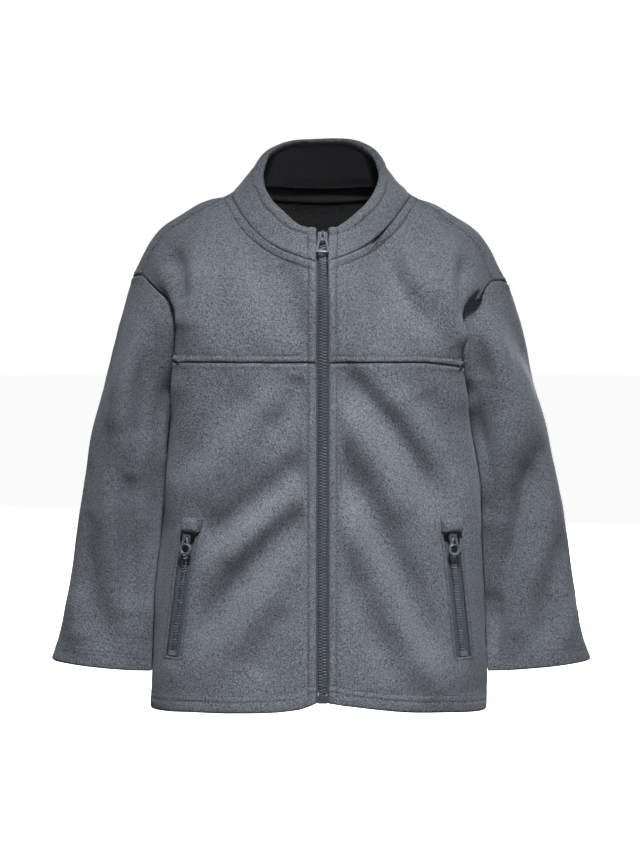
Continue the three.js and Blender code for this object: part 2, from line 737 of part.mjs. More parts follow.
// Collar: outer face up from the neck seam, over the rolled rim and down the inner face.
function collarGrid(neck) {
  const run = lengths(neck);
  const total = run[run.length - 1];
  const rows = Array.from({ length: 13 }, () => []);
  neck.forEach((foot, k) => {
    const share = 1 - Math.abs((2 * run[k]) / total - 1);
    const sign = run[k] < total / 2 ? -1 : 1;
    const rim = sample(RIM, 'share', share);
    const end = k === 0 || k === neck.length - 1;
    const x = sign * rim.out + ZIP_X * clamp01(1 - share / 0.3);
    const tip = new THREE.Vector3(end ? foot.x : x, rim.y, rim.z);
    const rise = tip.clone().sub(foot);
    const side = neck[Math.min(neck.length - 1, k + 1)].clone().sub(neck[Math.max(0, k - 1)]);
    const face = rise.clone().cross(side).normalize();
    if (end) face.setX(0).normalize();
    const half = COLLAR_THICK / 2;
    const axis = rise.clone().normalize();
    const rimBase = tip.clone().addScaledVector(axis, -half);
    [0, 0.3, 0.62, 0.88].forEach((t, i) => {
      const puff = Math.sin(Math.PI * t) * 1;
      rows[i].push(foot.clone().lerp(rimBase, t).addScaledVector(face, puff));
    });
    for (let i = 0; i <= 4; i += 1) {
      const turn = (i / 4) * Math.PI;
      const p = rimBase.clone().addScaledVector(face, half * (Math.cos(turn) - 1));
      rows[4 + i].push(p.addScaledVector(axis, half * Math.sin(turn)));
    }
    [0.84, 0.58, 0.32, 0.1].forEach((t, i) => {
      const p = foot.clone().lerp(rimBase, t);
      rows[9 + i].push(p.addScaledVector(face, -COLLAR_THICK));
    });
  });
  return rows;
}

// Rows of grid points up the zip edge: lower front, yoke and collar face.
function zipRows(front, yoke, collar, fromEnd) {
  const take = (cloth, rows) => rows.map((i) => [0, 1, 2, 3].map((j) => {
    const column = fromEnd && cloth === collar ? cloth.grid[0].length - 1 - j : j;
    return { point: cloth.grid[i][column], normal: cloth.normals[i][column] };
  }));
  const range = (a, b) => Array.from({ length: b - a + 1 }, (_, i) => a + i);
  const lower = take(front, range(0, front.grid.length - 1));
  const upper = take(yoke, range(1, YOKE_ROWS));
  return [...lower, ...upper, ...take(collar, [1, 2, 3])];
}

// Zip tape of one side, behind the edge of the front.
function zipTape(side, rows) {
  const edge = (cells) => {
    const [a, b] = cells;
    const outward = a.point.clone().sub(b.point).normalize();
    return { point: a.point.clone().addScaledVector(outward, 1.5), normal: a.normal };
  };
  const all = rows.map((cells) => [edge(cells), ...cells]);
  const cloth = new Cloth(all.map((cells) => cells.map((c) => c.point)), false, side.sign < 0);
  cloth.normals = all.map((cells) => cells.map((c) => c.normal));
  const geometry = shell(cloth, TAPE_THICK, { gap: 0, lift: TAPE_LIFT });
  return solid(`zip_tape_${side.name}`, geometry, TAPE);
}

// Middle line of the zip with the direction it faces.
function zipSpine(left, right) {
  return left.map((cells, i) => {
    const point = cells[0].point.clone().add(right[i][0].point).multiplyScalar(0.5);
    const normal = cells[0].normal.clone().add(right[i][0].normal).setX(0).normalize();
    return { point: point.setX(ZIP_X), normal };
  });
}

function zipChain(spine) {
  const grid = spine.map(({ point }) => [-CHAIN_HALF, CHAIN_HALF].map((dx) => (
    point.clone().add(new THREE.Vector3(dx, 0, 0)))));
  const cloth = new Cloth(grid);
  cloth.normals = spine.map(({ normal }) => [normal, normal]);
  return solid('zip_chain', shell(cloth, CHAIN_THICK, { gap: 0, lift: -0.6 }), TEETH);
}

// Joins solids into one.
function join(geometries) {
  const parts = geometries.map((geometry) => {
    geometry.deleteAttribute('uv');
    geometry.deleteAttribute('normal');
    const merged = mergeVertices(geometry, 1e-4);
    return new wasm.Manifold(new wasm.Mesh({
      numProp: 3,
      vertProperties: new Float32Array(merged.attributes.position.array),
      triVerts: new Uint32Array(merged.index.array),
    }));
  });
  const mesh = wasm.Manifold.union(parts).getMesh();
  const result = new THREE.BufferGeometry();
  result.setAttribute('position', new THREE.Float32BufferAttribute(mesh.vertProperties, 3));
  result.setIndex(Array.from(mesh.triVerts));
  return result;
}

// Flat plate from an outline in the local x and y, its thickness along local z.
function plate(outline, thick, holes = [], curveSegments = 5) {
  const points = outline.map(([x, y]) => new THREE.Vector2(x, y));
  if (THREE.ShapeUtils.isClockWise(points)) points.reverse();
  const shape = new THREE.Shape(points);
  holes.forEach((hole) => shape.holes.push(new THREE.Path(hole.map(([x, y]) => new THREE.Vector2(x, y)))));
  return new THREE.ExtrudeGeometry(shape, { depth: thick, bevelEnabled: false, curveSegments });
}

// Slider plate with its arch: local y runs up the zip, local z away from the cloth.
function sliderGeometry(size) {
  const { width, long, thick, archHigh, archHalf } = size;
  const w = width / 2;
  const h = long / 2;
  const body = plate([
    [-w * 0.72, -h], [w * 0.72, -h], [w, -h * 0.1], [w, h * 0.7], [w * 0.8, h],
    [-w * 0.8, h], [-w, h * 0.7], [-w, -h * 0.1],
  ], thick);
  const high = archHigh;
  const a = archHalf;
  const arch = plate([
    [-a, -0.4], [-a, high * 0.72], [-a * 0.7, high], [a * 0.7, high], [a, high * 0.72], [a, -0.4],
    [a - 1.2, -0.4], [a - 1.2, high * 0.6], [a * 0.5, high - 1.1],
    [-a * 0.5, high - 1.1], [1.2 - a, high * 0.6], [1.2 - a, -0.4],
  ], 2);
  arch.translate(0, 0, -1);
  arch.rotateY(-Math.PI / 2);
  arch.rotateX(Math.PI / 2);
  arch.translate(0, 0, thick);
  return join([body, arch]);
}

function ring(x, y, rx, ry, count) {
  return Array.from({ length: count }, (_, i) => {
    const a = (i / count) * Math.PI * 2;
    return [x + rx * Math.cos(a), y + ry * Math.sin(a)];
  });
}

const ZIP_SLIDER = { width: 9.6, long: 9.6, thick: 1.5, archHigh: 4.8, archHalf: 3.4 };
const POCKET_SLIDER = { width: 8.2, long: 8.4, thick: 1.3, archHigh: 4.6, archHalf: 3.2 };
const PULL_THICK = 1.4;

// Long pull tab of the front zip with an open lower end, hung from local zero.
function frontPullGeometry() {
  const outline = [
    [-3.6, 0.7], [3.6, 0.7], [4, -1], [4, -8], [6.1, -18.5], [5.6, -21.4],
    [3.6, -22.2], [-3.6, -22.2], [-5.6, -21.4], [-6.1, -18.5], [-4, -8], [-4, -1],
  ];
  const slot = [[-1.5, -0.7], [1.5, -0.7], [1.5, -5.6], [-1.5, -5.6]];
  const opening = [[-2.4, -8.6], [2.4, -8.6], [4, -18.2], [3.2, -19.6], [-3.2, -19.6], [-4, -18.2]];
  const tab = plate(outline, PULL_THICK, [slot, opening]);
  tab.translate(0, 0, -PULL_THICK / 2);
  return tab;
}

// Round-ended pull tab of a pocket zip with its hole, hung from local zero.
function pocketPullGeometry() {
  const outline = [[-2.8, 0.7], [2.8, 0.7], [3, -3.4], [5.9, -8]];
  for (let i = 1; i < 12; i += 1) {
    const a = -(i / 12) * Math.PI;
    outline.push([5.9 * Math.cos(a), -9.6 + 5.9 * Math.sin(a)]);
  }
  outline.push([-5.9, -8], [-3, -3.4]);
  const slot = [[-1.5, -0.7], [1.5, -0.7], [1.5, -4.8], [-1.5, -4.8]];
  const tab = plate(outline, PULL_THICK, [slot, ring(0, -9.6, 3.9, 3.9, 16)]);
  tab.translate(0, 0, -PULL_THICK / 2);
  return tab;
}

// Local frame on the zip: x across, y up the zip, z away from the cloth.
function frameAt(point, up, normal) {
  const across = up.clone().cross(normal).normalize();
  const away = normal.clone().normalize();
  const along2 = away.clone().cross(across).normalize();
  return new THREE.Matrix4().makeBasis(across, along2, away).setPosition(point);
}

// Slider and pull on a frame; the pull hangs plumb, or rests with its end near the cloth.
function sliderAndPull(names, size, pullGeometry, frame, rest) {
  const slider = sliderGeometry(size).applyMatrix4(frame);
  const [up, away] = [1, 2].map((i) => new THREE.Vector3().setFromMatrixColumn(frame, i));
  const plumb = Math.atan2(away.z, up.z);
  const hang = pullGeometry.rotateX(Math.min(rest, plumb));
  hang.translate(0, 0, size.thick + size.archHigh - 2.45);
  return [solid(names[0], slider, PULLS), solid(names[1], hang.applyMatrix4(frame), PULLS)];
}

function frontSlider(spine) {
  const a = spine[spine.length - 2];
  const b = spine[spine.length - 1];
  const up = b.point.clone().sub(a.point).normalize();
  const normal = up.clone().cross(new THREE.Vector3(-1, 0, 0)).normalize();
  const seat = b.point.clone().addScaledVector(up, -1.5).addScaledVector(normal, -0.3);
  const frame = frameAt(seat, up, normal);
  const names = ['front_slider', 'front_pull'];
  return sliderAndPull(names, ZIP_SLIDER, frontPullGeometry(), frame, 0.02);
}

// Retainer box and pin at the foot of the front zip.
function zipBox(spine) {
  const foot = spine[0];
  const box = plate([[-4.2, -4], [4.2, -4], [4.2, 3], [3.4, 4], [-3.4, 4], [-4.2, 3]], 2.6);
  const up = new THREE.Vector3(0, 0, 1);
  const seat = foot.point.clone().addScaledVector(foot.normal, -2.8).addScaledVector(up, -4.4);
  return solid('zip_box', box.applyMatrix4(frameAt(seat, up, foot.normal)), TEETH);
}

// Tape, chain, slider, pull and end patch of one pocket zip.
function pocketPieces(side, front) {
  const s = side.name;
  const middle = POCKET_COLUMN + 0.5;
  const across = (half) => [middle - half, middle + half];
  const tape = patch(front, [POCKET_LOW_ROW - 0.55, POCKET_TOP_ROW + 0.55], across(0.74));
  const chain = patch(front, [POCKET_LOW_ROW + 0.27, POCKET_TOP_ROW - 0.1], across(0.19));
  const stop = patch(front, [POCKET_LOW_ROW + 0.05, POCKET_LOW_ROW + 0.25], across(0.22));
  const garageSides = POCKET[s].garage.map((share) => middle + share);
  const garage = patch(front, [POCKET_TOP_ROW + 0.08, POCKET_TOP_ROW + 0.95], garageSides);
  const high = front.at(POCKET_TOP_ROW - 0.15, middle);
  const low = front.at(POCKET_TOP_ROW - 0.7, middle);
  const edges = across(0.19).map((j) => front.at(POCKET_TOP_ROW - 0.15, j).point);
  const chainUp = high.point.clone().sub(low.point).normalize();
  const width = edges[1].clone().sub(edges[0]).multiplyScalar(side.sign);
  const normal = width.cross(chainUp).normalize().add(new THREE.Vector3(0, -0.3, 0)).normalize();
  const up = new THREE.Vector3(0, 0, 1).addScaledVector(normal, -normal.z).normalize();
  const seat = high.point.clone().addScaledVector(normal, 1.1);
  seat.x -= side.sign * POCKET[s].hangIn;
  const frame = frameAt(seat, up, normal);
  const names = [`pocket_slider_${s}`, `pocket_pull_${s}`];
  return [
    solid(`pocket_tape_${s}`, shell(tape, TAPE_THICK, { gap: 0, lift: TAPE_LIFT }), TAPE),
    solid(`pocket_chain_${s}`, shell(chain, 1.9, { gap: 0, lift: -0.2 }), TEETH),
    solid(`pocket_stop_${s}`, shell(stop, 1.9, { gap: 0, lift: -0.1 }), TEETH),
    solid(`pocket_garage_${s}`, shell(garage, 1.5, { gap: 0, lift: 1.9 }), FLEECE),
    ...sliderAndPull(names, POCKET_SLIDER, pocketPullGeometry(), frame, 0.04),
  ];
}

// Row of a surface, at its middle column, where it reaches a height.
function rowAtHeight(cloth, column, z) {
  let i = cloth.grid.length - 1;
  while (i > 1 && cloth.grid[i - 1][column].z > z) i -= 1;
  const a = cloth.grid[i - 1][column].z;
  return i - 1 + (z - a) / (cloth.grid[i][column].z - a);
}

// Column of a surface, on one row, at a place across.
function columnAtX(cloth, row, x) {
  const line = cloth.grid[Math.floor(row)];
  const j = line.findIndex((p) => p.x > x);
  return j - 1 + (x - line[j - 1].x) / (line[j].x - line[j - 1].x);
}

// Tape over the back neck seam and the bare label below it, inside the back.
function neckPieces(back) {
  const middle = (back.grid[0].length - 1) / 2;
  const rowOf = (z) => rowAtHeight(back, middle, z);
  const inside = (low, high, half) => {
    const columns = [-half, half].map((x) => columnAtX(back, rowOf(low), x));
    return patch(back, [rowOf(low), rowOf(high)], columns);
  };
  const lift = -CLOTH - SEAM_GAP;
  return [
    solid('neck_tape', shell(inside(-4, 4, 38), 0.7, { gap: 0, lift }), TAPE),
    solid('neck_label', shell(inside(-12.5, -4.6, 25), 0.7, { gap: 0, lift }), LABEL),
  ];
}

function buildJacket() {
  const sides = [LEFT, RIGHT];
  const fronts = sides.map((side) => new Cloth(lowerFrontGrid(side), false, side.sign < 0));
  const yokes = sides.map((side, k) => (
    new Cloth(yokeGrid(side, fronts[k].grid[FRONT_LEVELS.length - 1]), false, side.sign < 0)));
  const back = new Cloth(backGrid(), false, true);
  shareNormals([...fronts, ...yokes, back]);

  const edge = (j) => smooth((FRONT_LAST - j) / 2.5);
  fronts.forEach((cloth) => cloth.displace((i, j, p) => (
    edge(j) * (creases(FRONT_FOLDS, p) + frontBand(FRONT_LEVELS[i], j)))));
  yokes.forEach((cloth) => cloth.displace((i, j, p) => {
    const top = smooth((YOKE_ROWS - i) / 2.5);
    return edge(j) * (top * creases(FRONT_FOLDS, p) + frontBand(0, j) * smooth(YOKE_ROWS - i));
  }));
  back.displace((i, j, p) => {
    const sideways = Math.min(j, back.grid[0].length - 1 - j);
    const top = smooth((back.grid.length - 1 - i) / 3);
    return smooth(sideways / 2.5) * top * creases(BACK_FOLDS, p);
  });

  const sleeves = sides.map((side, k) => {
    const loop = armholeLoop(side, fronts[k].grid, yokes[k].grid, back.grid);
    const top = FRONT_LEVELS.length - 1 - UNDERARM_ROW + YOKE_ROWS;
    const cloth = new Cloth(sleeveGrid(side, loop, top), true, side.sign > 0);
    cloth.displace((i, j, p) => sleeveCrease(side, j / loop.length, p, i));
    return cloth;
  });
  const collar = new Cloth(collarGrid(neckLoop(yokes.map((y) => y.grid), back.grid)), false, true);
  const all = [...fronts, ...yokes, back, ...sleeves, collar];
  all.forEach((cloth) => cloth.refresh());
  shareNormals(all);
  [...fronts, ...yokes, collar].forEach((cloth) => squareEdge(cloth, cloth === collar));

  const jacket = new THREE.Group();
  jacket.name = 'fleece_zip_jacket';
  const window = (i, j) => j === POCKET_COLUMN && i >= POCKET_LOW_ROW && i < POCKET_TOP_ROW;
  jacket.add(solid('back', shell(back, CLOTH, { gap: 0.6 }), FLEECE));
  sides.forEach((side, k) => {
    jacket.add(solid(`front_${side.name}`, shell(fronts[k], CLOTH, { open: window }), FLEECE));
    jacket.add(solid(`yoke_${side.name}`, shell(yokes[k], CLOTH), FLEECE));
    jacket.add(solid(`sleeve_${side.name}`, shell(sleeves[k], CLOTH), FLEECE));
    pocketPieces(side, fronts[k]).forEach((mesh) => jacket.add(mesh));
  });
  jacket.add(solid('collar', shell(collar, CLOTH, { gap: 0.9 }), FLEECE));
  const rows = sides.map((side, k) => zipRows(fronts[k], yokes[k], collar, side.sign > 0));
  sides.forEach((side, k) => jacket.add(zipTape(side, rows[k])));
  const spine = zipSpine(rows[0], rows[1]).slice(1);
  jacket.add(zipChain(spine), zipBox(spine), ...frontSlider(spine));
  neckPieces(back).forEach((mesh) => jacket.add(mesh));
  return jacket;
}

export default buildJacket();
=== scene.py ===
"""Fleece zip jacket, filled out as worn: fine cloth, seams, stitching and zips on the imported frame."""

import logging
import math
from dataclasses import dataclass, field
from enum import Enum

import bmesh
import bpy
import numpy as np
from mathutils import Matrix, Vector
from mathutils.bvhtree import BVHTree
from mathutils.kdtree import KDTree


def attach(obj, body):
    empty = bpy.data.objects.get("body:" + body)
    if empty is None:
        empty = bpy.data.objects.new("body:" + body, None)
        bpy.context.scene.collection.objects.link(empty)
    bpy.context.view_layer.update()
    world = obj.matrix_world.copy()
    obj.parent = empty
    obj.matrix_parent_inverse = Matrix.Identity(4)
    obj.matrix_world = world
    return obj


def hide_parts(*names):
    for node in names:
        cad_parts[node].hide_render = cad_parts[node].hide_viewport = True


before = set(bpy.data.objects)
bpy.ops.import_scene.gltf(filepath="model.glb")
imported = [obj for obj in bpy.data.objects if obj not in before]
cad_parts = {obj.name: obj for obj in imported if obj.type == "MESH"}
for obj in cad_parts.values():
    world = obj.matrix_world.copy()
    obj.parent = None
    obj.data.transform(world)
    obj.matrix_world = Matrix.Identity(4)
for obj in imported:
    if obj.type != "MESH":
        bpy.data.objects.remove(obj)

MM = 0.001
CLOTH = 2.2
ZIP_X = 1.4
SEED = 41
BODY = "jacket"

log = logging.getLogger("jacket")


class Edge(Enum):
    """What an edge of a cloth piece is."""

    SEAM = "seam"
    HEM = "hem"
    ZIP = "zip"
    WINDOW = "window"
    INSIDE = "inside"


class Facing(Enum):
    """Which way the cloth faces where a fold lies."""

    FRONT = -1.0
    BACK = 1.0


class Part(Enum):
    """The part of the garment that a fold belongs to."""

    BODY = "body"
    SLEEVE = "sleeve"
    COLLAR = "collar"


def smooth(value: np.ndarray | float) -> np.ndarray | float:
    """Smooth step from 0 at 0 to 1 at 1."""
    t = np.clip(value, 0.0, 1.0)
    return t * t * (3.0 - 2.0 * t)


def bell(distance: np.ndarray, centre: float, width: float) -> np.ndarray:
    """Bell curve of height 1 at a distance, with a half width."""
    return np.exp(-(((distance - centre) / width) ** 2))


def unit(rows: np.ndarray) -> np.ndarray:
    """Rows of vectors, each brought to length 1."""
    length = np.linalg.norm(rows, axis=-1, keepdims=True)
    return rows / np.maximum(length, 1e-12)


class Value:
    """A socket of a shader; arithmetic on it adds the nodes that work it out."""

    def __init__(self, shader: "Shader", socket: bpy.types.NodeSocket) -> None:
        """Keeps the shader and its socket."""
        self.shader = shader
        self.socket = socket

    def _math(self, operation: str, *values: "Value | float") -> "Value":
        """Adds one Math node.

        Args:
            operation: Name of the Math node's operation.
            values: Its values in order.

        Returns:
            The node's output.
        """
        inputs = dict(enumerate(values))
        return self.shader.node("ShaderNodeMath", {"operation": operation}, inputs)

    def __add__(self, other: "Value | float") -> "Value":
        """Sum."""
        return self._math("ADD", self, other)

    __radd__ = __add__

    def __sub__(self, other: "Value | float") -> "Value":
        """Difference."""
        return self._math("SUBTRACT", self, other)

    def __rsub__(self, other: "Value | float") -> "Value":
        """Difference with the value last."""
        return self._math("SUBTRACT", other, self)

    def __mul__(self, other: "Value | float") -> "Value":
        """Product."""
        return self._math("MULTIPLY", self, other)

    __rmul__ = __mul__

    def clamp(self) -> "Value":
        """Value held between 0 and 1."""
        return self.shader.node("ShaderNodeClamp", {}, {"Value": self})

    def wave(self) -> "Value":
        """Sine of the value."""
        return self._math("SINE", self)


class Shader:
    """Node tree of one material."""

    def __init__(self, name: str) -> None:
        """Makes an empty material with its principled shader."""
        self.material = bpy.data.materials.new(name)
        self.material.use_nodes = True
        self.tree = self.material.node_tree
        self.base = self.tree.nodes["Principled BSDF"]

    def node(self, kind: str, settings: dict, inputs: dict, output: str | int = 0) -> Value:
        """Adds a node of any type.

        Args:
            kind: Blender's type name of the node.
            settings: Its properties, set first; stops sets the stops of a ramp.
            inputs: Values or links by socket name or number.
            output: The socket that is wanted.

        Returns:
            The wanted output.
        """
        made = self.tree.nodes.new(kind)
        for key, value in settings.items():
            if key == "stops":
                ramp = made.color_ramp
                for stop, (place, shade) in zip(self._stops(ramp, len(value)), value):
                    stop.position = place
                    stop.color = shade
            else:
                setattr(made, key, value)
        for key, value in inputs.items():
            if isinstance(value, Value):
                self.tree.links.new(value.socket, made.inputs[key])
            else:
                made.inputs[key].default_value = value
        return Value(self, made.outputs[output])

    @staticmethod
    def _stops(ramp: bpy.types.ColorRamp, count: int) -> list:
        """Brings a ramp to a number of stops and returns them."""
        while len(ramp.elements) < count:
            ramp.elements.new(0.5)
        return list(ramp.elements)

    def place(self) -> Value:
        """Position on the piece in the frame, in metres."""
        return self.node("ShaderNodeTexCoord", {}, {}, "Object")

    def axis(self, place: Value, name: str) -> Value:
        """One coordinate of a position."""
        return self.node("ShaderNodeSeparateXYZ", {}, {"Vector": place}, name)

    def noise(self, place: Value, size_mm: float, detail: float = 2.0, rough: float = 0.5) -> Value:
        """Noise whose grains have a size in millimetres."""
        inputs = {"Vector": place, "Scale": 1 / (size_mm * MM), "Detail": detail, "Roughness": rough}
        return self.node("ShaderNodeTexNoise", {}, inputs, "Fac")

    def cells(self, place: Value, size_mm: float) -> Value:
        """Distance to the nearest of scattered points a size in millimetres apart."""
        inputs = {"Vector": place, "Scale": 1 / (size_mm * MM)}
        return self.node("ShaderNodeTexVoronoi", {"feature": "F1"}, inputs, "Distance")

    def attribute(self, name: str) -> Value:
        """Number stored on the mesh."""
        return self.node("ShaderNodeAttribute", {"attribute_name": name}, {}, "Fac")

    def mix(self, share: Value | float, low: Value | tuple, high: Value | tuple) -> Value:
        """Colour between two colours."""
        inputs = {"Factor": share, 6: low, 7: high}
        return self.node("ShaderNodeMix", {"data_type": "RGBA"}, inputs, 2)

    def dress(self, colour: Value, height: Value | None, depth_mm: float, **constants: object) -> None:
        """Feeds the principled shader.

        Args:
            colour: Base colour.
            height: Relief from 0 to 1, or None.
            depth_mm: Height of the relief in millimetres.
            constants: Values of other sockets, with _ for a space.
        """
        self.tree.links.new(colour.socket, self.base.inputs["Base Color"])
        for key, value in constants.items():
            socket = self.base.inputs[key.replace("_", " ")]
            if isinstance(value, Value):
                self.tree.links.new(value.socket, socket)
            else:
                socket.default_value = value
        if height is not None:
            inputs = {"Height": height, "Strength": 1.0, "Distance": depth_mm * MM}
            bump = self.node("ShaderNodeBump", {}, inputs)
            self.tree.links.new(bump.socket, self.base.inputs["Normal"])


@dataclass(frozen=True)
class Fleece:
    """Short curly brushed pile, slate grey."""

    deep: tuple = (0.036, 0.039, 0.046, 1)
    light: tuple = (0.268, 0.288, 0.328, 1)
    # Colour of the painted shade in seam dips, along stitch rows and round the cloth's edges.
    painted_shade_colour: tuple = (0.034, 0.037, 0.044, 1)
    # Colour of the painted shade on the inner side of the cloth and the collar's face towards the neck; the
    # fleece itself is the same colour inside.
    inner_painted_shade: tuple = (0.018, 0.018, 0.020, 1)
    curl_mm: float = 1.7
    tuft_mm: float = 3.0
    hair_mm: float = 1.3
    relief_mm: float = 0.75

    def make(self) -> bpy.types.Material:
        """Builds the material of brushed fleece.

        Returns:
            The material.
        """
        shader = Shader("brushed_fleece")
        place = shader.place()
        warp = shader.noise(place, 5.0, 2.0)
        curls = shader.cells(place, self.curl_mm)
        hairs = shader.noise(place, self.hair_mm, 3.0, 0.75)
        tufts = shader.noise(place, self.tuft_mm, 3.0, 0.6)
        lay = shader.noise(place, 42.0, 2.0)
        height = 0.55 * (1 - curls) + 0.35 * hairs + 0.3 * tufts
        tone = 0.45 + (hairs - 0.5) * 2.3 + (tufts - 0.5) * 0.25 + (0.5 - curls) * 0.32
        tone = (tone + (lay - 0.5) * 0.15 + (warp - 0.5) * 0.1).clamp()
        colour = shader.mix(tone, self.deep, self.light)
        # Painted shade: the inside of the jacket and the collar's inner face are darkened by the inside
        # mark.
        colour = shader.mix(shader.attribute("inside"), colour, self.inner_painted_shade)
        # Painted shade along seams, stitch rows and edges, and round the pocket patches.
        pressed = (shader.attribute("pressed") * 0.7).clamp()
        colour = shader.mix(pressed, colour, self.painted_shade_colour)
        shader.dress(
            colour, height, self.relief_mm, Roughness=0.92, Sheen_Weight=0.22,
            Sheen_Roughness=0.55, Sheen_Tint=(0.72, 0.77, 0.86, 1), Specular_IOR_Level=0.18,
        )
        return shader.material


@dataclass(frozen=True)
class Woven:
    """Flat woven ribbon, as of a zip tape or a label."""

    name: str
    colour: tuple
    light: tuple
    rib_mm: float = 0.55
    gloss: float = 0.62

    def make(self) -> bpy.types.Material:
        """Builds the material of the ribbon.

        Returns:
            The material.
        """
        shader = Shader(self.name)
        place = shader.place()
        turn = 2 * math.pi / (self.rib_mm * MM)
        across = (shader.axis(place, "X") * turn).wave()
        along = (shader.axis(place, "Z") * (turn * 0.8)).wave()
        weave = (across * along) * 0.5 + 0.5
        wear = shader.noise(place, 3.5, 2.0)
        colour = shader.mix((weave * 0.7 + wear * 0.5 - 0.1).clamp(), self.colour, self.light)
        shader.dress(colour, weave, 0.14, Roughness=self.gloss, Specular_IOR_Level=0.35)
        return shader.material


@dataclass(frozen=True)
class Moulded:
    """Moulded or lacquered hard part, slightly worn."""

    name: str
    colour: tuple
    light: tuple
    gloss: float
    metal: float

    def make(self) -> bpy.types.Material:
        """Builds the material of the hard part.

        Returns:
            The material.
        """
        shader = Shader(self.name)
        place = shader.place()
        cloud = shader.noise(place, 2.2, 3.0)
        grain = shader.noise(place, 0.35, 2.0)
        colour = shader.mix((cloud * 1.3 - 0.25).clamp(), self.colour, self.light)
        rough = (cloud - 0.5) * 0.25 + self.gloss
        shader.dress(colour, grain, 0.02, Roughness=rough, Metallic=self.metal, Coat_Weight=0.25)
        return shader.material


@dataclass(frozen=True)
class Backdrop:
    """Plain pale floor or wall of the studio, lit evenly from behind."""

    name: str
    shade: float
    glow: float

    def make(self) -> bpy.types.Material:
        """The plain pale material."""
        shader = Shader(self.name)
        drift = shader.noise(shader.place(), 900.0, 1.0)
        pale = (self.shade, self.shade, self.shade, 1)
        colour = shader.mix(drift, pale, (self.shade * 0.985,) * 3 + (1,))
        glow = {"Emission_Color": (1, 1, 1, 1), "Emission_Strength": self.glow}
        shader.dress(colour, None, 0.0, Roughness=0.9, **glow)
        return shader.material


class Finishes:
    """All materials, each made once."""

    def __init__(self) -> None:
        """Makes the materials."""
        self.fleece = Fleece().make()
        self.tape = Woven(
            "zip_tape_weave", (0.030, 0.036, 0.046, 1), (0.098, 0.113, 0.136, 1)
        ).make()
        self.pocket_tape = Woven(
            "pocket_tape_weave", (0.045, 0.055, 0.070, 1), (0.13, 0.15, 0.18, 1)
        ).make()
        self.binding = Woven(
            "neck_tape_weave", (0.010, 0.010, 0.012, 1), (0.034, 0.035, 0.040, 1)
        ).make()
        self.label = Woven(
            "label_satin", (0.004, 0.004, 0.005, 1), (0.012, 0.012, 0.013, 1), 0.3, 0.45
        ).make()
        self.teeth = Moulded(
            "zip_teeth_moulded", (0.13, 0.15, 0.175, 1), (0.27, 0.295, 0.335, 1), 0.36, 0.05
        ).make()
        self.pull = Moulded(
            "zip_pull_lacquer", (0.075, 0.092, 0.115, 1), (0.15, 0.175, 0.21, 1), 0.24, 0.3
        ).make()
        # Lighter copy of the pull's lacquer for the raised rims: painted highlight on the tab's edges.
        self.rims = Moulded(
            "zip_pull_edge_painted_highlight", (0.13, 0.15, 0.18, 1), (0.23, 0.26, 0.30, 1), 0.34, 0.2
        ).make()
        self.box = Moulded(
            "zip_box_moulded", (0.030, 0.036, 0.044, 1), (0.070, 0.080, 0.095, 1), 0.4, 0.0
        ).make()
        self.thread = Woven(
            "sewing_thread", (0.016, 0.018, 0.023, 1), (0.050, 0.055, 0.066, 1), 0.2, 0.6
        ).make()


@dataclass(frozen=True)
class Fold:
    """Soft trough or ridge in millimetres, its path in the front view; a negative depth sinks."""

    path: tuple
    depth: float
    width: float
    part: Part = Part.BODY
    facing: Facing = Facing.FRONT
    lean: float = 0.0

    def push(self, points: np.ndarray, normals: np.ndarray) -> np.ndarray:
        """How far the fold moves each point along its normal.

        Args:
            points: Places in millimetres.
            normals: Directions of the cloth there.

        Returns:
            Millimetres outward for each point.
        """
        flat = points[:, [0, 2]]
        knots = np.array(self.path, float)
        steps = np.diff(knots, axis=0)
        spans = np.linalg.norm(steps, axis=1)
        start = np.concatenate(([0.0], np.cumsum(spans)))
        near = np.full(len(flat), 1e9)
        share = np.zeros(len(flat))
        side = np.zeros(len(flat))
        for knot, step, span, gone in zip(knots, steps, spans, start):
            away = flat - knot
            t = np.clip(away @ step / span**2, 0, 1)
            gap = away - t[:, None] * step
            distance = np.linalg.norm(gap, axis=1)
            closer = distance < near
            near = np.where(closer, distance, near)
            share = np.where(closer, (gone + t * span) / start[-1], share)
            turn = np.sign(step[0] * away[:, 1] - step[1] * away[:, 0])
            side = np.where(closer, turn, side)
        width = FOLD_SPREAD * self.width * (1 + self.lean * side)
        taper = smooth(np.sin(math.pi * (0.1 + 0.8 * share)) * 1.5)
        facing = smooth(normals[:, 1] * self.facing.value * 1.8 - 0.15)
        return self.depth * np.exp(-((near / width) ** 2)) * taper * facing


B, S, C = Part.BODY, Part.SLEEVE, Part.COLLAR
REAR = Facing.BACK

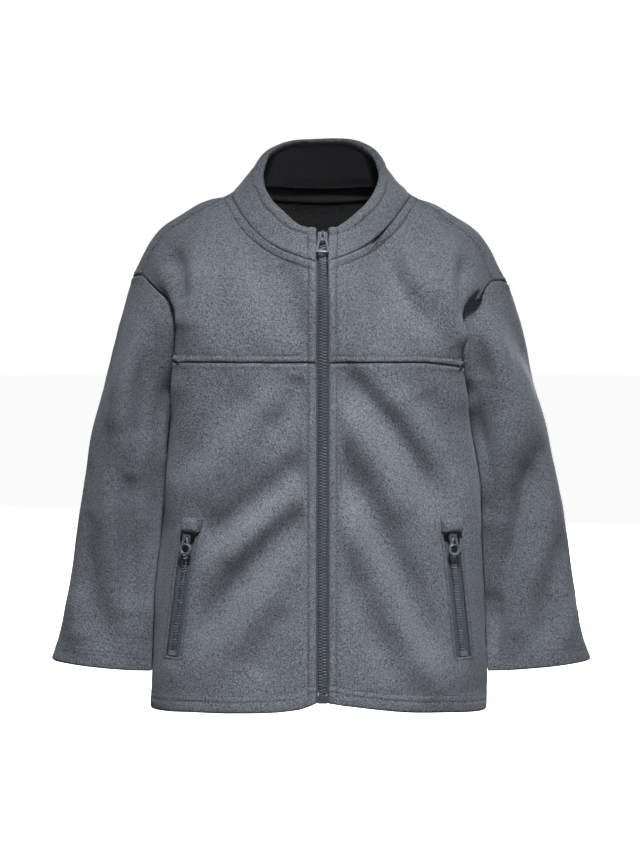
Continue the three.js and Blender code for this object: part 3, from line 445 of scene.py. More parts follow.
FOLDS = (
    # Right front, falling from the zip to the side.
    Fold(((22, -162), (42, -185), (66, -211), (92, -247), (106, -276)), -4.6, 11),
    Fold(((23, -194), (42, -227), (63, -258), (82, -292)), 3.4, 12),
    Fold(((18, -243), (31, -269), (53, -312), (74, -351), (92, -390), (106, -423)), -5.2, 12),
    Fold(((25, -281), (42, -319), (63, -359), (83, -405), (103, -448)), 4.2, 13),
    Fold(((22, -344), (36, -380), (57, -423)), -2.2, 12),
    Fold(((91, -178), (117, -215), (128, -255)), -2.8, 13),
    Fold(((135, -166), (142, -227), (146, -289), (148, -380)), 1.6, 9),
    Fold(((60, -178), (91, -215), (109, -252)), 1.6, 10),
    # Left front, alike but not mirrored.
    Fold(((-17, -163), (-28, -194), (-50, -218)), -3.0, 13),
    Fold(((-16, -238), (-32, -259), (-59, -281), (-87, -302), (-105, -322)), -4.8, 12),
    Fold(((-14, -263), (-38, -284), (-68, -308), (-96, -334)), 3.3, 12),
    Fold(((-16, -284), (-38, -313), (-68, -347), (-96, -380), (-111, -411)), -4.4, 13),
    Fold(((-19, -319), (-44, -353), (-71, -390), (-93, -423)), 2.6, 14),
    Fold(((-32, -377), (-50, -411), (-65, -438)), -1.9, 12),
    Fold(((-38, -178), (-68, -215), (-102, -252), (-123, -282)), 2.6, 14),
    Fold(((-68, -178), (-99, -215), (-120, -246)), -2.2, 13),
    Fold(((-135, -160), (-139, -215), (-143, -276)), 1.6, 9),
    # Yokes and chest.
    Fold(((58, -33), (63, -59), (82, -90), (101, -118)), -4.2, 10),
    Fold(((85, -28), (99, -48), (107, -72)), -3.0, 8),
    Fold(((120, -38), (116, -75), (123, -112), (131, -139)), 3.6, 9),
    Fold(((131, -59), (131, -87), (130, -115)), -3.4, 6),
    Fold(((143, -75), (138, -105), (134, -136)), 3.0, 6),
    Fold(((67, -38), (76, -62), (91, -84)), 1.6, 8),
    Fold(((64, -84), (58, -112), (48, -136)), -1.6, 12),
    Fold(((-141, -48), (-132, -68), (-129, -96)), -4.6, 9),
    Fold(((-116, -59), (-120, -87), (-123, -121)), 3.0, 10),
    Fold(((-38, -59), (-24, -90), (-18, -130)), -2.4, 12),
    Fold(((-72, -75), (-59, -112), (-44, -136)), 1.5, 14),
    Fold(((-102, -44), (-96, -84), (-93, -121)), -1.7, 12),
    # Right sleeve.
    Fold(((162, -116), (167, -169), (170, -232), (168, -288)), 2.4, 12, S),
    Fold(((148, -91), (146, -132), (149, -169)), -3.6, 9, S),
    Fold(((203, -244), (190, -288), (176, -335), (163, -388), (159, -417)), -5.0, 12, S),
    Fold(((173, -294), (164, -335), (158, -379)), 3.2, 10, S),
    Fold(((203, -332), (190, -376), (181, -417)), 2.2, 12, S),
    Fold(((187, -138), (190, -182)), -1.6, 10, S),
    Fold(((231, -319), (218, -366), (209, -417)), -2.4, 10, S),
    Fold(((237, -385), (231, -420)), 1.8, 9, S),
    # Left sleeve.
    Fold(((-178, -107), (-186, -157), (-189, -219)), 2.2, 13, S),
    Fold(((-181, -257), (-180, -301), (-179, -345), (-176, -388)), -4.4, 11, S),
    Fold(((-193, -279), (-192, -341), (-188, -398)), 2.4, 10, S),
    Fold(((-167, -288), (-168, -341), (-166, -404)), 2.0, 8, S),
    Fold(((-161, -113), (-164, -169), (-167, -226)), -2.8, 10, S),
    Fold(((-204, -176), (-214, -238), (-220, -294)), -2.0, 10, S),
    Fold(((-226, -294), (-220, -351), (-211, -407)), -2.4, 10, S),
    Fold(((-236, -370), (-229, -417)), 1.8, 9, S),
    # Back and the backs of the sleeves.
    Fold(((-104, -66), (-116, -120), (-122, -184)), -4.6, 11, B, REAR),
    Fold(((100, -62), (114, -118), (120, -190)), -5.1, 12, B, REAR),
    Fold(((-60, -104), (-42, -178), (-26, -262)), -4.0, 12, B, REAR),
    Fold(((-36, -120), (-14, -214), (-8, -300)), 2.8, 14, B, REAR),
    Fold(((64, -118), (50, -190), (34, -280)), -4.3, 13, B, REAR),
    Fold(((86, -130), (74, -220), (66, -300)), 3.0, 13, B, REAR),
    Fold(((-98, -236), (-78, -320), (-56, -404)), -4.3, 13, B, REAR),
    Fold(((-124, -290), (-108, -376), (-98, -450)), 2.8, 11, B, REAR),
    Fold(((106, -250), (86, -338), (66, -420)), -4.1, 12, B, REAR),
    Fold(((-8, -300), (8, -372), (22, -448)), -3.3, 11, B, REAR),
    Fold(((30, -320), (42, -392), (48, -450)), 2.6, 12, B, REAR),
    Fold(((-58, -20), (0, -27), (60, -19)), -2.8, 9, B, REAR),
    Fold(((-164, -120), (-176, -210), (-184, -270)), -4.9, 12, S, REAR),
    Fold(((-198, -160), (-204, -270), (-212, -380)), 3.0, 12, S, REAR),
    Fold(((-232, -268), (-214, -350), (-192, -410)), -4.0, 11, S, REAR),
    Fold(((162, -116), (172, -206), (178, -262)), -4.6, 11, S, REAR),
    Fold(((196, -150), (204, -262), (214, -360)), 2.8, 12, S, REAR),
    Fold(((230, -280), (214, -356), (194, -424)), -4.5, 11, S, REAR),
    # Collar, slightly uneven.
    Fold(((-46, -40), (-34, -14)), -1.0, 8, C),
    Fold(((50, -34), (38, -8)), 0.9, 9, C),
    Fold(((-28, 28), (-20, 52)), -1.0, 9, C, REAR),
    Fold(((22, 24), (30, 50)), 0.9, 10, C, REAR),
)


class Ripple:
    """Slow unevenness of the cloth, as a few seeded waves through space."""

    def __init__(self, seed: int, wave_mm: float, height_mm: float, count: int = 9) -> None:
        """Draws the directions, lengths and phases of the waves."""
        draw = np.random.default_rng(seed)
        self.ways = unit(draw.normal(size=(count, 3))) / (wave_mm * draw.uniform(0.7, 1.4, (count, 1)))
        self.phase = draw.uniform(0, 2 * math.pi, count)
        self.height = height_mm / math.sqrt(count / 2)

    def at(self, points: np.ndarray) -> np.ndarray:
        """Height of the waves at each point, in millimetres."""
        return self.height * np.sin(2 * math.pi * points @ self.ways.T + self.phase).sum(axis=1)


def rim_of(points: np.ndarray, count: int = 160) -> np.ndarray:
    """Top line of a standing band: its highest point in each direction around the neck.

    Args:
        points: Points of the band in millimetres.
        count: Number of directions.

    Returns:
        The line's points, from one end of the band to the other.
    """
    turn = np.arctan2(points[:, 0] - ZIP_X, 5.0 - points[:, 1])
    sector = np.floor((turn + math.pi) / (2 * math.pi) * count).astype(int)
    found = []
    for k in range(count):
        inside = np.flatnonzero(sector == k)
        if len(inside):
            found.append(points[inside[np.argmax(points[inside, 2])]])
    return np.array(found)


def strip(bag: "Bag", rows: np.ndarray, normals: np.ndarray, thick: float) -> None:
    """Adds a closed thin strip through a grid of points.

    Args:
        bag: The mesh it goes into.
        rows: Points of the outer side, rows by columns by 3.
        normals: Direction out of the strip at each.
        thick: Thickness in millimetres.
    """
    tall, wide = rows.shape[:2]
    size = tall * wide
    at = np.arange(size).reshape(tall, wide)
    faces = []
    for a in range(tall - 1):
        for b in range(wide - 1):
            quad = (at[a, b], at[a, b + 1], at[a + 1, b + 1], at[a + 1, b])
            faces.append(quad)
            faces.append(tuple(k + size for k in reversed(quad)))
    border = [*at[0], *at[1:, -1], *at[-1, -2::-1], *at[-2:0:-1, 0]]
    for k, here in enumerate(border):
        after = border[(k + 1) % len(border)]
        faces.append((after, here, here + size, after + size))
    points = np.concatenate((rows.reshape(-1, 3), (rows - normals * thick).reshape(-1, 3)))
    edge = rows[0, 1] - rows[0, 0]
    down = rows[1, 0] - rows[0, 0]
    if np.dot(np.cross(edge, down), normals[0, 0]) < 0:
        faces = [face[::-1] for face in faces]
    bag.add(points, faces)


@dataclass
class Line:
    """Points of a line on the cloth with the cloth's direction at each."""

    points: np.ndarray
    normals: np.ndarray

    def resampled(self, step: float) -> "Line":
        """The same line with points a step apart, in millimetres."""
        run = np.concatenate(([0.0], np.cumsum(np.linalg.norm(np.diff(self.points, axis=0), axis=1))))
        count = max(2, int(run[-1] / step) + 1)
        at = np.linspace(0, run[-1], count)
        points = np.stack([np.interp(at, run, self.points[:, k]) for k in range(3)], axis=1)
        normals = np.stack([np.interp(at, run, self.normals[:, k]) for k in range(3)], axis=1)
        return Line(points, unit(normals))

    @property
    def length(self) -> float:
        """Length in millimetres."""
        return float(np.linalg.norm(np.diff(self.points, axis=0), axis=1).sum())


class Bag:
    """Points and faces of a mesh that is being gathered."""

    def __init__(self) -> None:
        """Starts empty."""
        self.points: list = []
        self.faces: list = []

    def add(self, points: np.ndarray, faces: list) -> None:
        """Adds points in millimetres, and faces that count from the first of them."""
        first = sum(len(p) for p in self.points)
        self.points.append(np.asarray(points, float))
        self.faces.extend([tuple(k + first for k in face) for face in faces])

    def piece(
        self, name: str, material: bpy.types.Material, slot: str, body: str = BODY
    ) -> bpy.types.Object:
        """Makes the mesh object, and lets it ride on a body of the frame.

        Args:
            name: Name of the piece.
            material: Its finish.
            slot: Not used.
            body: The body it moves with.

        Returns:
            The object.
        """
        mesh = bpy.data.meshes.new(name)
        mesh.from_pydata((np.concatenate(self.points) * MM).tolist(), [], self.faces)
        mesh.shade_smooth()
        mesh.materials.append(material)
        piece = bpy.data.objects.new(name, mesh)
        bpy.context.scene.collection.objects.link(piece)
        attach(piece, body)
        return piece


@dataclass
class Panel:
    """One cloth piece: its wall is taken from a node of the frame and made fine."""

    node: str
    part: Part
    flat: tuple
    area: float
    stitches: tuple = ()
    thick: float = CLOTH

    def take_wall(self) -> None:
        """Takes the outer wall out of the node's closed solid, as quads."""
        bm = bmesh.new()
        bm.from_mesh(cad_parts[self.node].data)
        bmesh.ops.remove_doubles(bm, verts=bm.verts, dist=2e-6)
        rim = [f for f in bm.faces if any(abs(e.calc_length() / MM - CLOTH) < 0.002 for e in f.edges)]
        bmesh.ops.delete(bm, geom=rim, context="FACES")
        walls = sorted(self._islands(bm), key=lambda faces: sum(f.calc_area() for f in faces))
        inner = [f for wall in walls[:-1] for f in wall]
        bmesh.ops.delete(bm, geom=inner, context="FACES")
        bmesh.ops.join_triangles(
            bm, faces=bm.faces,
            angle_face_threshold=math.radians(80), angle_shape_threshold=math.radians(80),
        )
        bm.verts.index_update()
        self.coarse = bm

    @staticmethod
    def _islands(bm: bmesh.types.BMesh) -> list:
        """Groups of faces that hang together.

        Args:
            bm: The mesh.

        Returns:
            One list of faces for each group.
        """
        left = set(bm.faces)
        groups = []
        while left:
            stack = [left.pop()]
            group = []
            while stack:
                face = stack.pop()
                group.append(face)
                for other in {g for e in face.edges for g in e.link_faces} & left:
                    left.discard(other)
                    stack.append(other)
            groups.append(group)
        return groups

    def coarse_edge(self) -> np.ndarray:
        """Points of the wall's edge before it is made fine."""
        return np.array([v.co for v in self.coarse.verts if v.is_boundary]) / MM

    def pinned(self, others: list) -> list[bool]:
        """Which points stay sharp: those where three pieces meet, and corners.

        Args:
            others: Search trees of the other pieces' edges.

        Returns:
            True for each point of the wall that stays sharp.
        """
        result = []
        for v in self.coarse.verts:
            sharp = False
            if v.is_boundary:
                met = sum(1 for tree in others if tree.find(v.co)[2] < 2.5 * MM)
                ways = [(e.other_vert(v).co - v.co).normalized() for e in v.link_edges if e.is_boundary]
                bend = ways[0].dot(-ways[1]) if len(ways) == 2 else 0.0
                sharp = met >= 2 or bend < math.cos(math.radians(42))
            result.append(sharp)
        return result

    def refine(self, others: list) -> None:
        """Subdivides the wall smoothly, and once or twice more along its edges.

        Args:
            others: The cloth pieces that it may be sewn to.
        """
        mesh = bpy.data.meshes.new(self.node + "_wall")
        sharp = self.pinned(others)
        self.coarse.to_mesh(mesh)
        self.coarse.free()
        crease = mesh.attributes.new("crease_vert", "FLOAT", "POINT")
        crease.data.foreach_set("value", [1.0 if s else 0.0 for s in sharp])
        holder = bpy.data.objects.new(self.node + "_wall", mesh)
        bpy.context.scene.collection.objects.link(holder)
        finer = holder.modifiers.new("finer", "SUBSURF")
        finer.levels = 2
        finer.boundary_smooth = "PRESERVE_CORNERS"
        graph = bpy.context.evaluated_depsgraph_get()
        smooth_mesh = bpy.data.meshes.new_from_object(holder.evaluated_get(graph))
        bpy.data.objects.remove(holder)
        bm = bmesh.new()
        bm.from_mesh(smooth_mesh)
        bpy.data.meshes.remove(smooth_mesh)
        for reach, longest in ((11.5, 2.4), (10.2, 1.25)):
            seeds = [v.co for v in bm.verts if v.is_boundary]
            if self.part is Part.COLLAR:
                seeds += [Vector(p) * MM for p in rim_of(np.array([v.co for v in bm.verts]) / MM, 400)]
            tree = self._tree(seeds, [])
            near = {v for v in bm.verts if tree.find(v.co)[2] < reach * MM}
            cut = [e for e in bm.edges if e.calc_length() > longest * MM and near.issuperset(e.verts)]
            bmesh.ops.subdivide_edges(bm, edges=cut, cuts=1, use_grid_fill=True)
        many = [f for f in bm.faces if len(f.verts) > 4]
        bmesh.ops.triangulate(bm, faces=many)
        bm.normal_update()
        bm.verts.index_update()
        self.points = np.array([v.co for v in bm.verts]) / MM
        self.normals = np.array([v.normal for v in bm.verts])
        self.faces = [[v.index for v in f.verts] for f in bm.faces]
        self.loops = self._edge_loops(bm)
        bm.free()

    @staticmethod
    def _edge_loops(bm: bmesh.types.BMesh) -> list[list[int]]:
        """Follows the edges of a wall, with the cloth on their left.

        Args:
            bm: The mesh of the wall.

        Returns:
            Indices of the edge points, one list for each closed loop.
        """
        after = {}
        for edge in bm.edges:
            if edge.is_boundary:
                loop = edge.link_loops[0]
                after[loop.vert.index] = loop.link_loop_next.vert.index
        loops = []
        while after:
            start = next(iter(after))
            ring = [start]
            here = after.pop(start)
            while here != start:
                ring.append(here)
                here = after.pop(here)
            loops.append(ring)
        return loops

    @staticmethod
    def _tree(points: list, labels: list) -> KDTree:
        """Search tree of points in metres."""
        tree = KDTree(max(1, len(points)))
        for k, point in enumerate(points):
            tree.insert(point, labels[k] if labels else k)
        tree.balance()
        return tree

    def edge_tree(self) -> KDTree:
        """Search tree of the fine wall's edge points, in millimetres."""
        ids = [k for loop in self.loops for k in loop]
        return self._tree([self.points[k] for k in ids], ids)

    def name_edges(self, panels: list["Panel"]) -> None:
        """Says of every edge point what it is and which piece it is sewn to.

        Args:
            panels: All cloth pieces.
        """
        trees = {p.node: p.edge_tree() for p in panels if p is not self}
        self.kind: dict[int, Edge] = {}
        self.mate: dict[int, str] = {}
        self.meets: dict[int, tuple] = {}
        for k in (k for loop in self.loops for k in loop):
            found = [(tree.find(self.points[k]), name) for name, tree in trees.items()]
            (_, other, gap), name = min(found, key=lambda item: item[0][2])
            x, _, z = self.points[k]
            if gap < 2.5:
                self.kind[k] = Edge.SEAM
                self.mate[k] = name
                self.meets[k] = (name, other)
            elif abs(x - ZIP_X) < 9.0 and self.part is not Part.SLEEVE and self._beside_zip(k):
                self.kind[k] = Edge.ZIP
            elif self.part is Part.COLLAR:
                self.kind[k] = Edge.INSIDE
            elif z < -430 and self._low(k):
                self.kind[k] = Edge.HEM
            else:
                self.kind[k] = Edge.WINDOW

    def _beside_zip(self, k: int) -> bool:
        """True where the edge runs up the zip."""
        return self.points[k][1] < -30 and self.normals[k][1] < -0.3

    def _low(self, k: int) -> bool:
        """True where the edge lies on the outer loop, and so isn't a pocket's window."""
        longest = self.loops[int(np.argmax([len(loop) for loop in self.loops]))]
        return k in longest or self.part is Part.SLEEVE

    def away(self, *kinds: Edge, mate: str = "") -> np.ndarray:
        """Distance of every point from the nearest edge of some kinds.

        Args:
            kinds: The kinds of edge that count.
            mate: A piece; where given, only edges sewn to one whose name starts so count.

        Returns:
            Distances in millimetres, 999 where there is no such edge.
        """
        ids = [k for k, kind in self.kind.items() if kind in kinds and self.mate.get(k, "").startswith(mate)]
        if not ids:
            return np.full(len(self.points), 999.0)
        rest = self.rest if hasattr(self, "rest") else self.points
        tree = self._tree([rest[k] for k in ids], [])
        return np.array([tree.find(p)[2] for p in rest])

    def shape(self) -> None:
        """Moves the cloth: folds, slow unevenness, rolled seams and the dips of the stitch lines."""
        self.rest = self.points.copy()
        seam, hem = self.away(Edge.SEAM), self.away(Edge.HEM)
        zipped, window = self.away(Edge.ZIP), self.away(Edge.WINDOW)
        quiet = smooth((zipped - 6.5) / 10) * smooth((window - 4) / 11)
        quiet = quiet * smooth((self.away(Edge.INSIDE) - 2) / 8)
        push = sum(fold.push(self.rest, self.normals) for fold in FOLDS if fold.part is self.part)
        push = FOLD_GAIN * push + Ripple(SEED, *BROAD_RIPPLE).at(self.rest)
        push = push + Ripple(SEED + 1, *FINE_RIPPLE).at(self.rest)
        push = push * quiet
        pucker = Ripple(SEED + 2, 9.5, 1.0).at(self.rest)
        push -= 0.55 * bell(seam, 0, 1.1)
        push += (0.35 + 0.14 * pucker) * bell(seam, 3.0, 2.0)
        push -= 0.7 * bell(hem, 0, 1.2)
        push -= 0.9 * bell(zipped, 0, 1.3)
        push += 0.55 * bell(zipped, 4.1, 2.4)
        push -= 0.7 * bell(window, 0, 1.2)
        # Painted shade mark: darkest in the seam line, along each stitch row and along the collar's rim row.
        pressed = 0.3 * bell(seam, 0, 0.9)
        for kinds, mate, distances in self.stitches:
            edge = self.away(*kinds, mate=mate)
            lift = {HEMS: 0.35, WINDOWS: 0.2}.get(kinds, 0.6)
            push += lift * smooth((max(distances) + 1.0 - edge) / 1.5)
            for distance in distances:
                push -= (0.6 + 0.15 * pucker) * bell(edge, distance, 1.0)
                pressed = np.maximum(pressed, 0.5 * bell(edge, distance, 0.75))
        if self.part is Part.COLLAR:
            rim = self.rim_away()
            push += 0.95 * smooth((RIM_ROW + 0.9 - rim) / 1.4) + 0.35 * bell(rim, 3.6, 2.6)
            push -= (0.6 + 0.12 * pucker) * bell(rim, RIM_ROW, 0.95)
            pressed = np.maximum(pressed, 0.5 * bell(rim, RIM_ROW, 0.75))
            # Painted shade mark on the collar's face towards the neck, below the rim.
            self.inside = smooth((self._inward() - 0.1) * 4) * smooth((rim - 2.6) / 2.2)
        else:
            self.inside = np.zeros(len(self.rest))
        self.pressed = pressed
        self.points = self.rest + self.normals * push[:, None]
        self.hem = hem
        self.zipped = zipped
        faces = [tuple(f) for f in self.faces]
        self.surface = BVHTree.FromPolygons([Vector(p) for p in self.points], faces)

    def lean_on(self, others: list["Panel"]) -> None:
        """Rests the cloth that faces other pieces on them, just clear of them.

        Args:
            others: The pieces that it hangs against.
        """
        free = smooth((self.away(Edge.SEAM) - LEAN_FROM_SEAM) / LEAN_EASE)
        free = free * smooth((UNDERARM_Z - self.rest[:, 2]) / UNDERARM_EASE)
        for k in np.flatnonzero(free > 0.01):
            point = Vector(self.points[k])
            found = [other.surface.find_nearest(point, LEAN_REACH * 2) for other in others]
            found = [hit for hit in found if hit[0] is not None]
            if not found:
                continue
            hit, normal, _, _ = min(found, key=lambda each: each[3])
            out = unit(np.array(normal))
            away = float((self.points[k] - np.array(hit)) @ out)
            faces_it = smooth(-float(self.normals[k] @ out) * 2.2)
            share = free[k] * faces_it * smooth((LEAN_REACH - away) / (LEAN_REACH * 0.5))
            self.points[k] -= out * (away - CLEAR_OF_BODY) * share
        self.surface = BVHTree.FromPolygons(
            [Vector(p) for p in self.points], [tuple(f) for f in self.faces]
        )

    def rim_away(self) -> np.ndarray:
        """Distance of every point from the top line of the band, in millimetres."""
        line = Line(rim_of(self.rest), np.zeros((1, 3)))
        run = np.concatenate(([0.0], np.cumsum(np.linalg.norm(np.diff(line.points, axis=0), axis=1))))
        at = np.linspace(0, run[-1], int(run[-1] / 0.8))
        dense = np.stack([np.interp(at, run, line.points[:, k]) for k in range(3)], axis=1)
        tree = self._tree([Vector(p) for p in dense], [])
        return np.array([tree.find(p)[2] for p in self.rest])

    def _inward(self) -> np.ndarray:
        """How far the cloth faces the neck, from -1 to 1."""
        to_middle = unit(np.array([ZIP_X, 5.0]) - self.rest[:, :2])
        return (to_middle * self.normals[:, :2]).sum(axis=1)

    def inwards(self) -> dict[int, np.ndarray]:
        """Direction from each edge point into the cloth."""
        found = {}
        for loop in self.loops:
            rest = self.rest[loop]
            along = unit(np.roll(rest, -1, axis=0) - np.roll(rest, 1, axis=0))
            for k, way in zip(loop, unit(np.cross(self.normals[loop], along))):
                found[k] = way
        return found

    def under(self, place: np.ndarray, gap: float) -> tuple[np.ndarray, np.ndarray]:
        """Point under the cloth near a place, and the direction in to the wearer.

        Args:
            place: A place near the cloth.
            gap: Distance below the cloth's inner side.

        Returns:
            The point and the direction.
        """
        hit, normal, _, _ = self.surface.find_nearest(Vector(place))
        out = unit(np.array(normal))
        return np.array(hit) - out * (self.thick + gap), -out

    def soften_seams(self, panels: dict[str, "Panel"]) -> None:
        """Gives edge points of sewn pieces a common direction."""
        fresh = self.normals.copy()
        for k, (name, other) in self.meets.items():
            fresh[k] = unit(self.normals[k] + panels[name].normals[other])
        self.shared = fresh

    def outward(self, loop: list[int]) -> np.ndarray:
        """Direction out of the cloth's edge at each point of a loop, in the plane of the cloth."""
        points = self.points[loop]
        along = np.roll(points, -1, axis=0) - np.roll(points, 1, axis=0)
        return unit(np.cross(unit(along), self.normals[loop]))

    def thickness(self) -> np.ndarray:
        """Thickness of the cloth at each point, doubled where the hem is turned up."""
        turned = smooth((20.5 - self.hem) / 2.5) * smooth((self.zipped - 15) / 5)
        return self.thick * (1 + 0.8 * turned)

    def build(self, finishes: Finishes) -> bpy.types.Object:
        """Makes the closed thin piece with rounded edges.

        Args:
            finishes: The materials.

        Returns:
            The piece.
        """
        thick = self.thickness()
        inner = self.points - self.normals * thick[:, None]
        count = len(self.points)
        points = [self.points, inner]
        # The inner wall takes a smaller share of the painted seam shade.
        pressed = [self.pressed, self.pressed * 0.4]
        # The inner wall is fully darkened as painted shade.
        inside = [self.inside, np.ones(count)]
        faces = list(self.faces) + [[k + count for k in reversed(f)] for f in self.faces]
        total = 2 * count
        arcs, bulge = 4, 0.75
        for loop in self.loops:
            out = self.outward(loop)
            half = thick[loop][:, None] / 2
            middle = self.points[loop] - self.normals[loop] * half
            shrunk = middle - out * bulge
            size = len(loop)
            points[0][loop] = shrunk + self.normals[loop] * half
            points[1][loop] = shrunk - self.normals[loop] * half
            rings = [list(loop)]
            for a in range(1, arcs):
                turn = math.pi * a / arcs
                ring = shrunk + self.normals[loop] * half * math.cos(turn) + out * bulge * math.sin(turn)
                points.append(ring)
                # Painted shade on the rolled edge: a fixed share of seam shade, and inside shade growing
                # round towards the inner wall.
                pressed.append(np.full(size, 0.25))
                inside.append(np.full(size, a / arcs))
                rings.append(list(range(total, total + size)))
                total += size
            rings.append([k + count for k in loop])
            for upper, lower in zip(rings, rings[1:]):
                for k in range(size):
                    n = (k + 1) % size
                    faces.append([upper[n], upper[k], lower[k], lower[n]])
        mesh = bpy.data.meshes.new(self.node + "_cloth")
        mesh.from_pydata((np.concatenate(points) * MM).tolist(), [], faces)
        mesh.shade_smooth()
        for name, values in (("pressed", pressed), ("inside", inside)):
            mark = mesh.attributes.new(name, "FLOAT", "POINT")
            mark.data.foreach_set("value", np.concatenate(values).astype(np.float32))
        mesh.materials.append(finishes.fleece)
        piece = bpy.data.objects.new(self.node + "_cloth", mesh)
        bpy.context.scene.collection.objects.link(piece)
        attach(piece, BODY)
        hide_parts(self.node)
        return piece

    def stretch(self, kinds: tuple, mate: str) -> list[list[int]]:
        """Runs of edge points of some kinds, in order.

        Args:
            kinds: The kinds of edge.
            mate: Start of the name of the piece they are sewn to, or nothing.

        Returns:
            One list of indices for each run.
        """
        runs = []
        for loop in self.loops:
            fits = [self.kind[k] in kinds and self.mate.get(k, "").startswith(mate) for k in loop]
            if all(fits):
                runs.append(loop + loop[:1])
                continue
            if not any(fits):
                continue
            first = fits.index(False)
            run: list[int] = []
            for k, fit in zip(loop[first:] + loop[:first], fits[first:] + fits[:first]):
                if fit:
                    run.append(k)
                elif run:
                    runs.append(run)
                    run = []
            if run:
                runs.append(run)
        return [run for run in runs if len(run) > 5]

    def line_inside(self, run: list[int], distance: float) -> Line:
        """Line on the cloth at a distance in from a run of its edge.

        Args:
            run: Indices of edge points in order.
            distance: Millimetres in from the edge.

        Returns:
            The line, laid on the shaped surface.
        """
        edge = self.rest[run]
        along = unit(np.gradient(edge, axis=0))
        inward = unit(np.cross(self.normals[run], along))
        kernel = np.ones(5) / 5
        padded = np.pad(inward, ((2, 2), (0, 0)), mode="edge")
        inward = unit(np.stack([np.convolve(padded[:, k], kernel, "valid") for k in range(3)], axis=1))
        points, normals = [], []
        for place in edge + inward * distance:
            hit, normal, _, _ = self.surface.find_nearest(Vector(place))
            points.append(np.array(hit))
            normals.append(np.array(normal))
        return Line(np.array(points), unit(np.array(normals)))


@dataclass(frozen=True)
class Stitching:
    """A row of lockstitches: thread thickness, stitch length and the gap between, in millimetres."""

    thread: float = 0.52
    length: float = 2.7
    gap: float = 0.55
    sides: int = 5
    sections: int = 5

    def sew(self, line: Line, bag: Bag) -> None:
        """Lays the stitches of one row.

        Args:
            line: Where the row runs on the cloth.
            bag: The mesh they go into.
        """
        fine = line.resampled(0.45)
        run = np.arange(len(fine.points)) * (fine.length / max(1, len(fine.points) - 1))
        pitch = self.length + self.gap
        for k in range(int(fine.length / pitch)):
            at = k * pitch + self.gap / 2 + np.linspace(0, 1, self.sections) * self.length
            middle = np.stack([np.interp(at, run, fine.points[:, c]) for c in range(3)], axis=1)
            normal = unit(np.stack([np.interp(at, run, fine.normals[:, c]) for c in range(3)], axis=1))
            along = unit(np.gradient(middle, axis=0))
            across = unit(np.cross(along, normal))
            share = np.linspace(-1, 1, self.sections)
            lift = 0.18 - 0.62 * share**4
            radius = self.thread / 2 * np.sqrt(np.maximum(0.12, 1 - 0.85 * share**6))
            rings = []
            for s in range(self.sections):
                turn = np.arange(self.sides) / self.sides * 2 * math.pi
                ring = middle[s] + normal[s] * lift[s]
                ring = ring + radius[s] * (
                    np.cos(turn)[:, None] * across[s] + np.sin(turn)[:, None] * normal[s]
                )
                rings.append(ring)
            self._tube(rings, bag)

    def _tube(self, rings: list, bag: Bag) -> None:
        """Adds a closed tube through rings of points."""
        n = self.sides
        faces = [tuple(range(n))[::-1], tuple(range((len(rings) - 1) * n, len(rings) * n))]
        for s in range(len(rings) - 1):
            for a in range(n):
                b = (a + 1) % n
                faces.append((s * n + a, s * n + b, (s + 1) * n + b, (s + 1) * n + a))
        bag.add(np.concatenate(rings), faces)


SEAMS, HEMS, ZIPS, WINDOWS = (Edge.SEAM,), (Edge.HEM,), (Edge.ZIP,), (Edge.WINDOW,)
HEM_ROWS = (11.4, 17.0)
CUFF_ROWS = (12.2, 15.8)
ZIP_ROW = 7.9
NECK_ROW = 7.4
YOKE_ROW = 6.4
WINDOW_ROW = 2.4
RIM_ROW = 7.2
FOLD_GAIN = 2.3
FOLD_SPREAD = 1.25
CLEAR_OF_BODY = 0.7
UNDERARM_Z = -178.0
UNDERARM_EASE = 20.0
LEAN_FROM_SEAM = 4.0
LEAN_EASE = 14.0
BROAD_RIPPLE = (82, 0.8)
FINE_RIPPLE = (27, 0.14)
CORDS_HALF = 3.95
CORDS_UNDER = 2.7
LEAN_REACH = 12.0
SEAM_CLOSING = 0.42


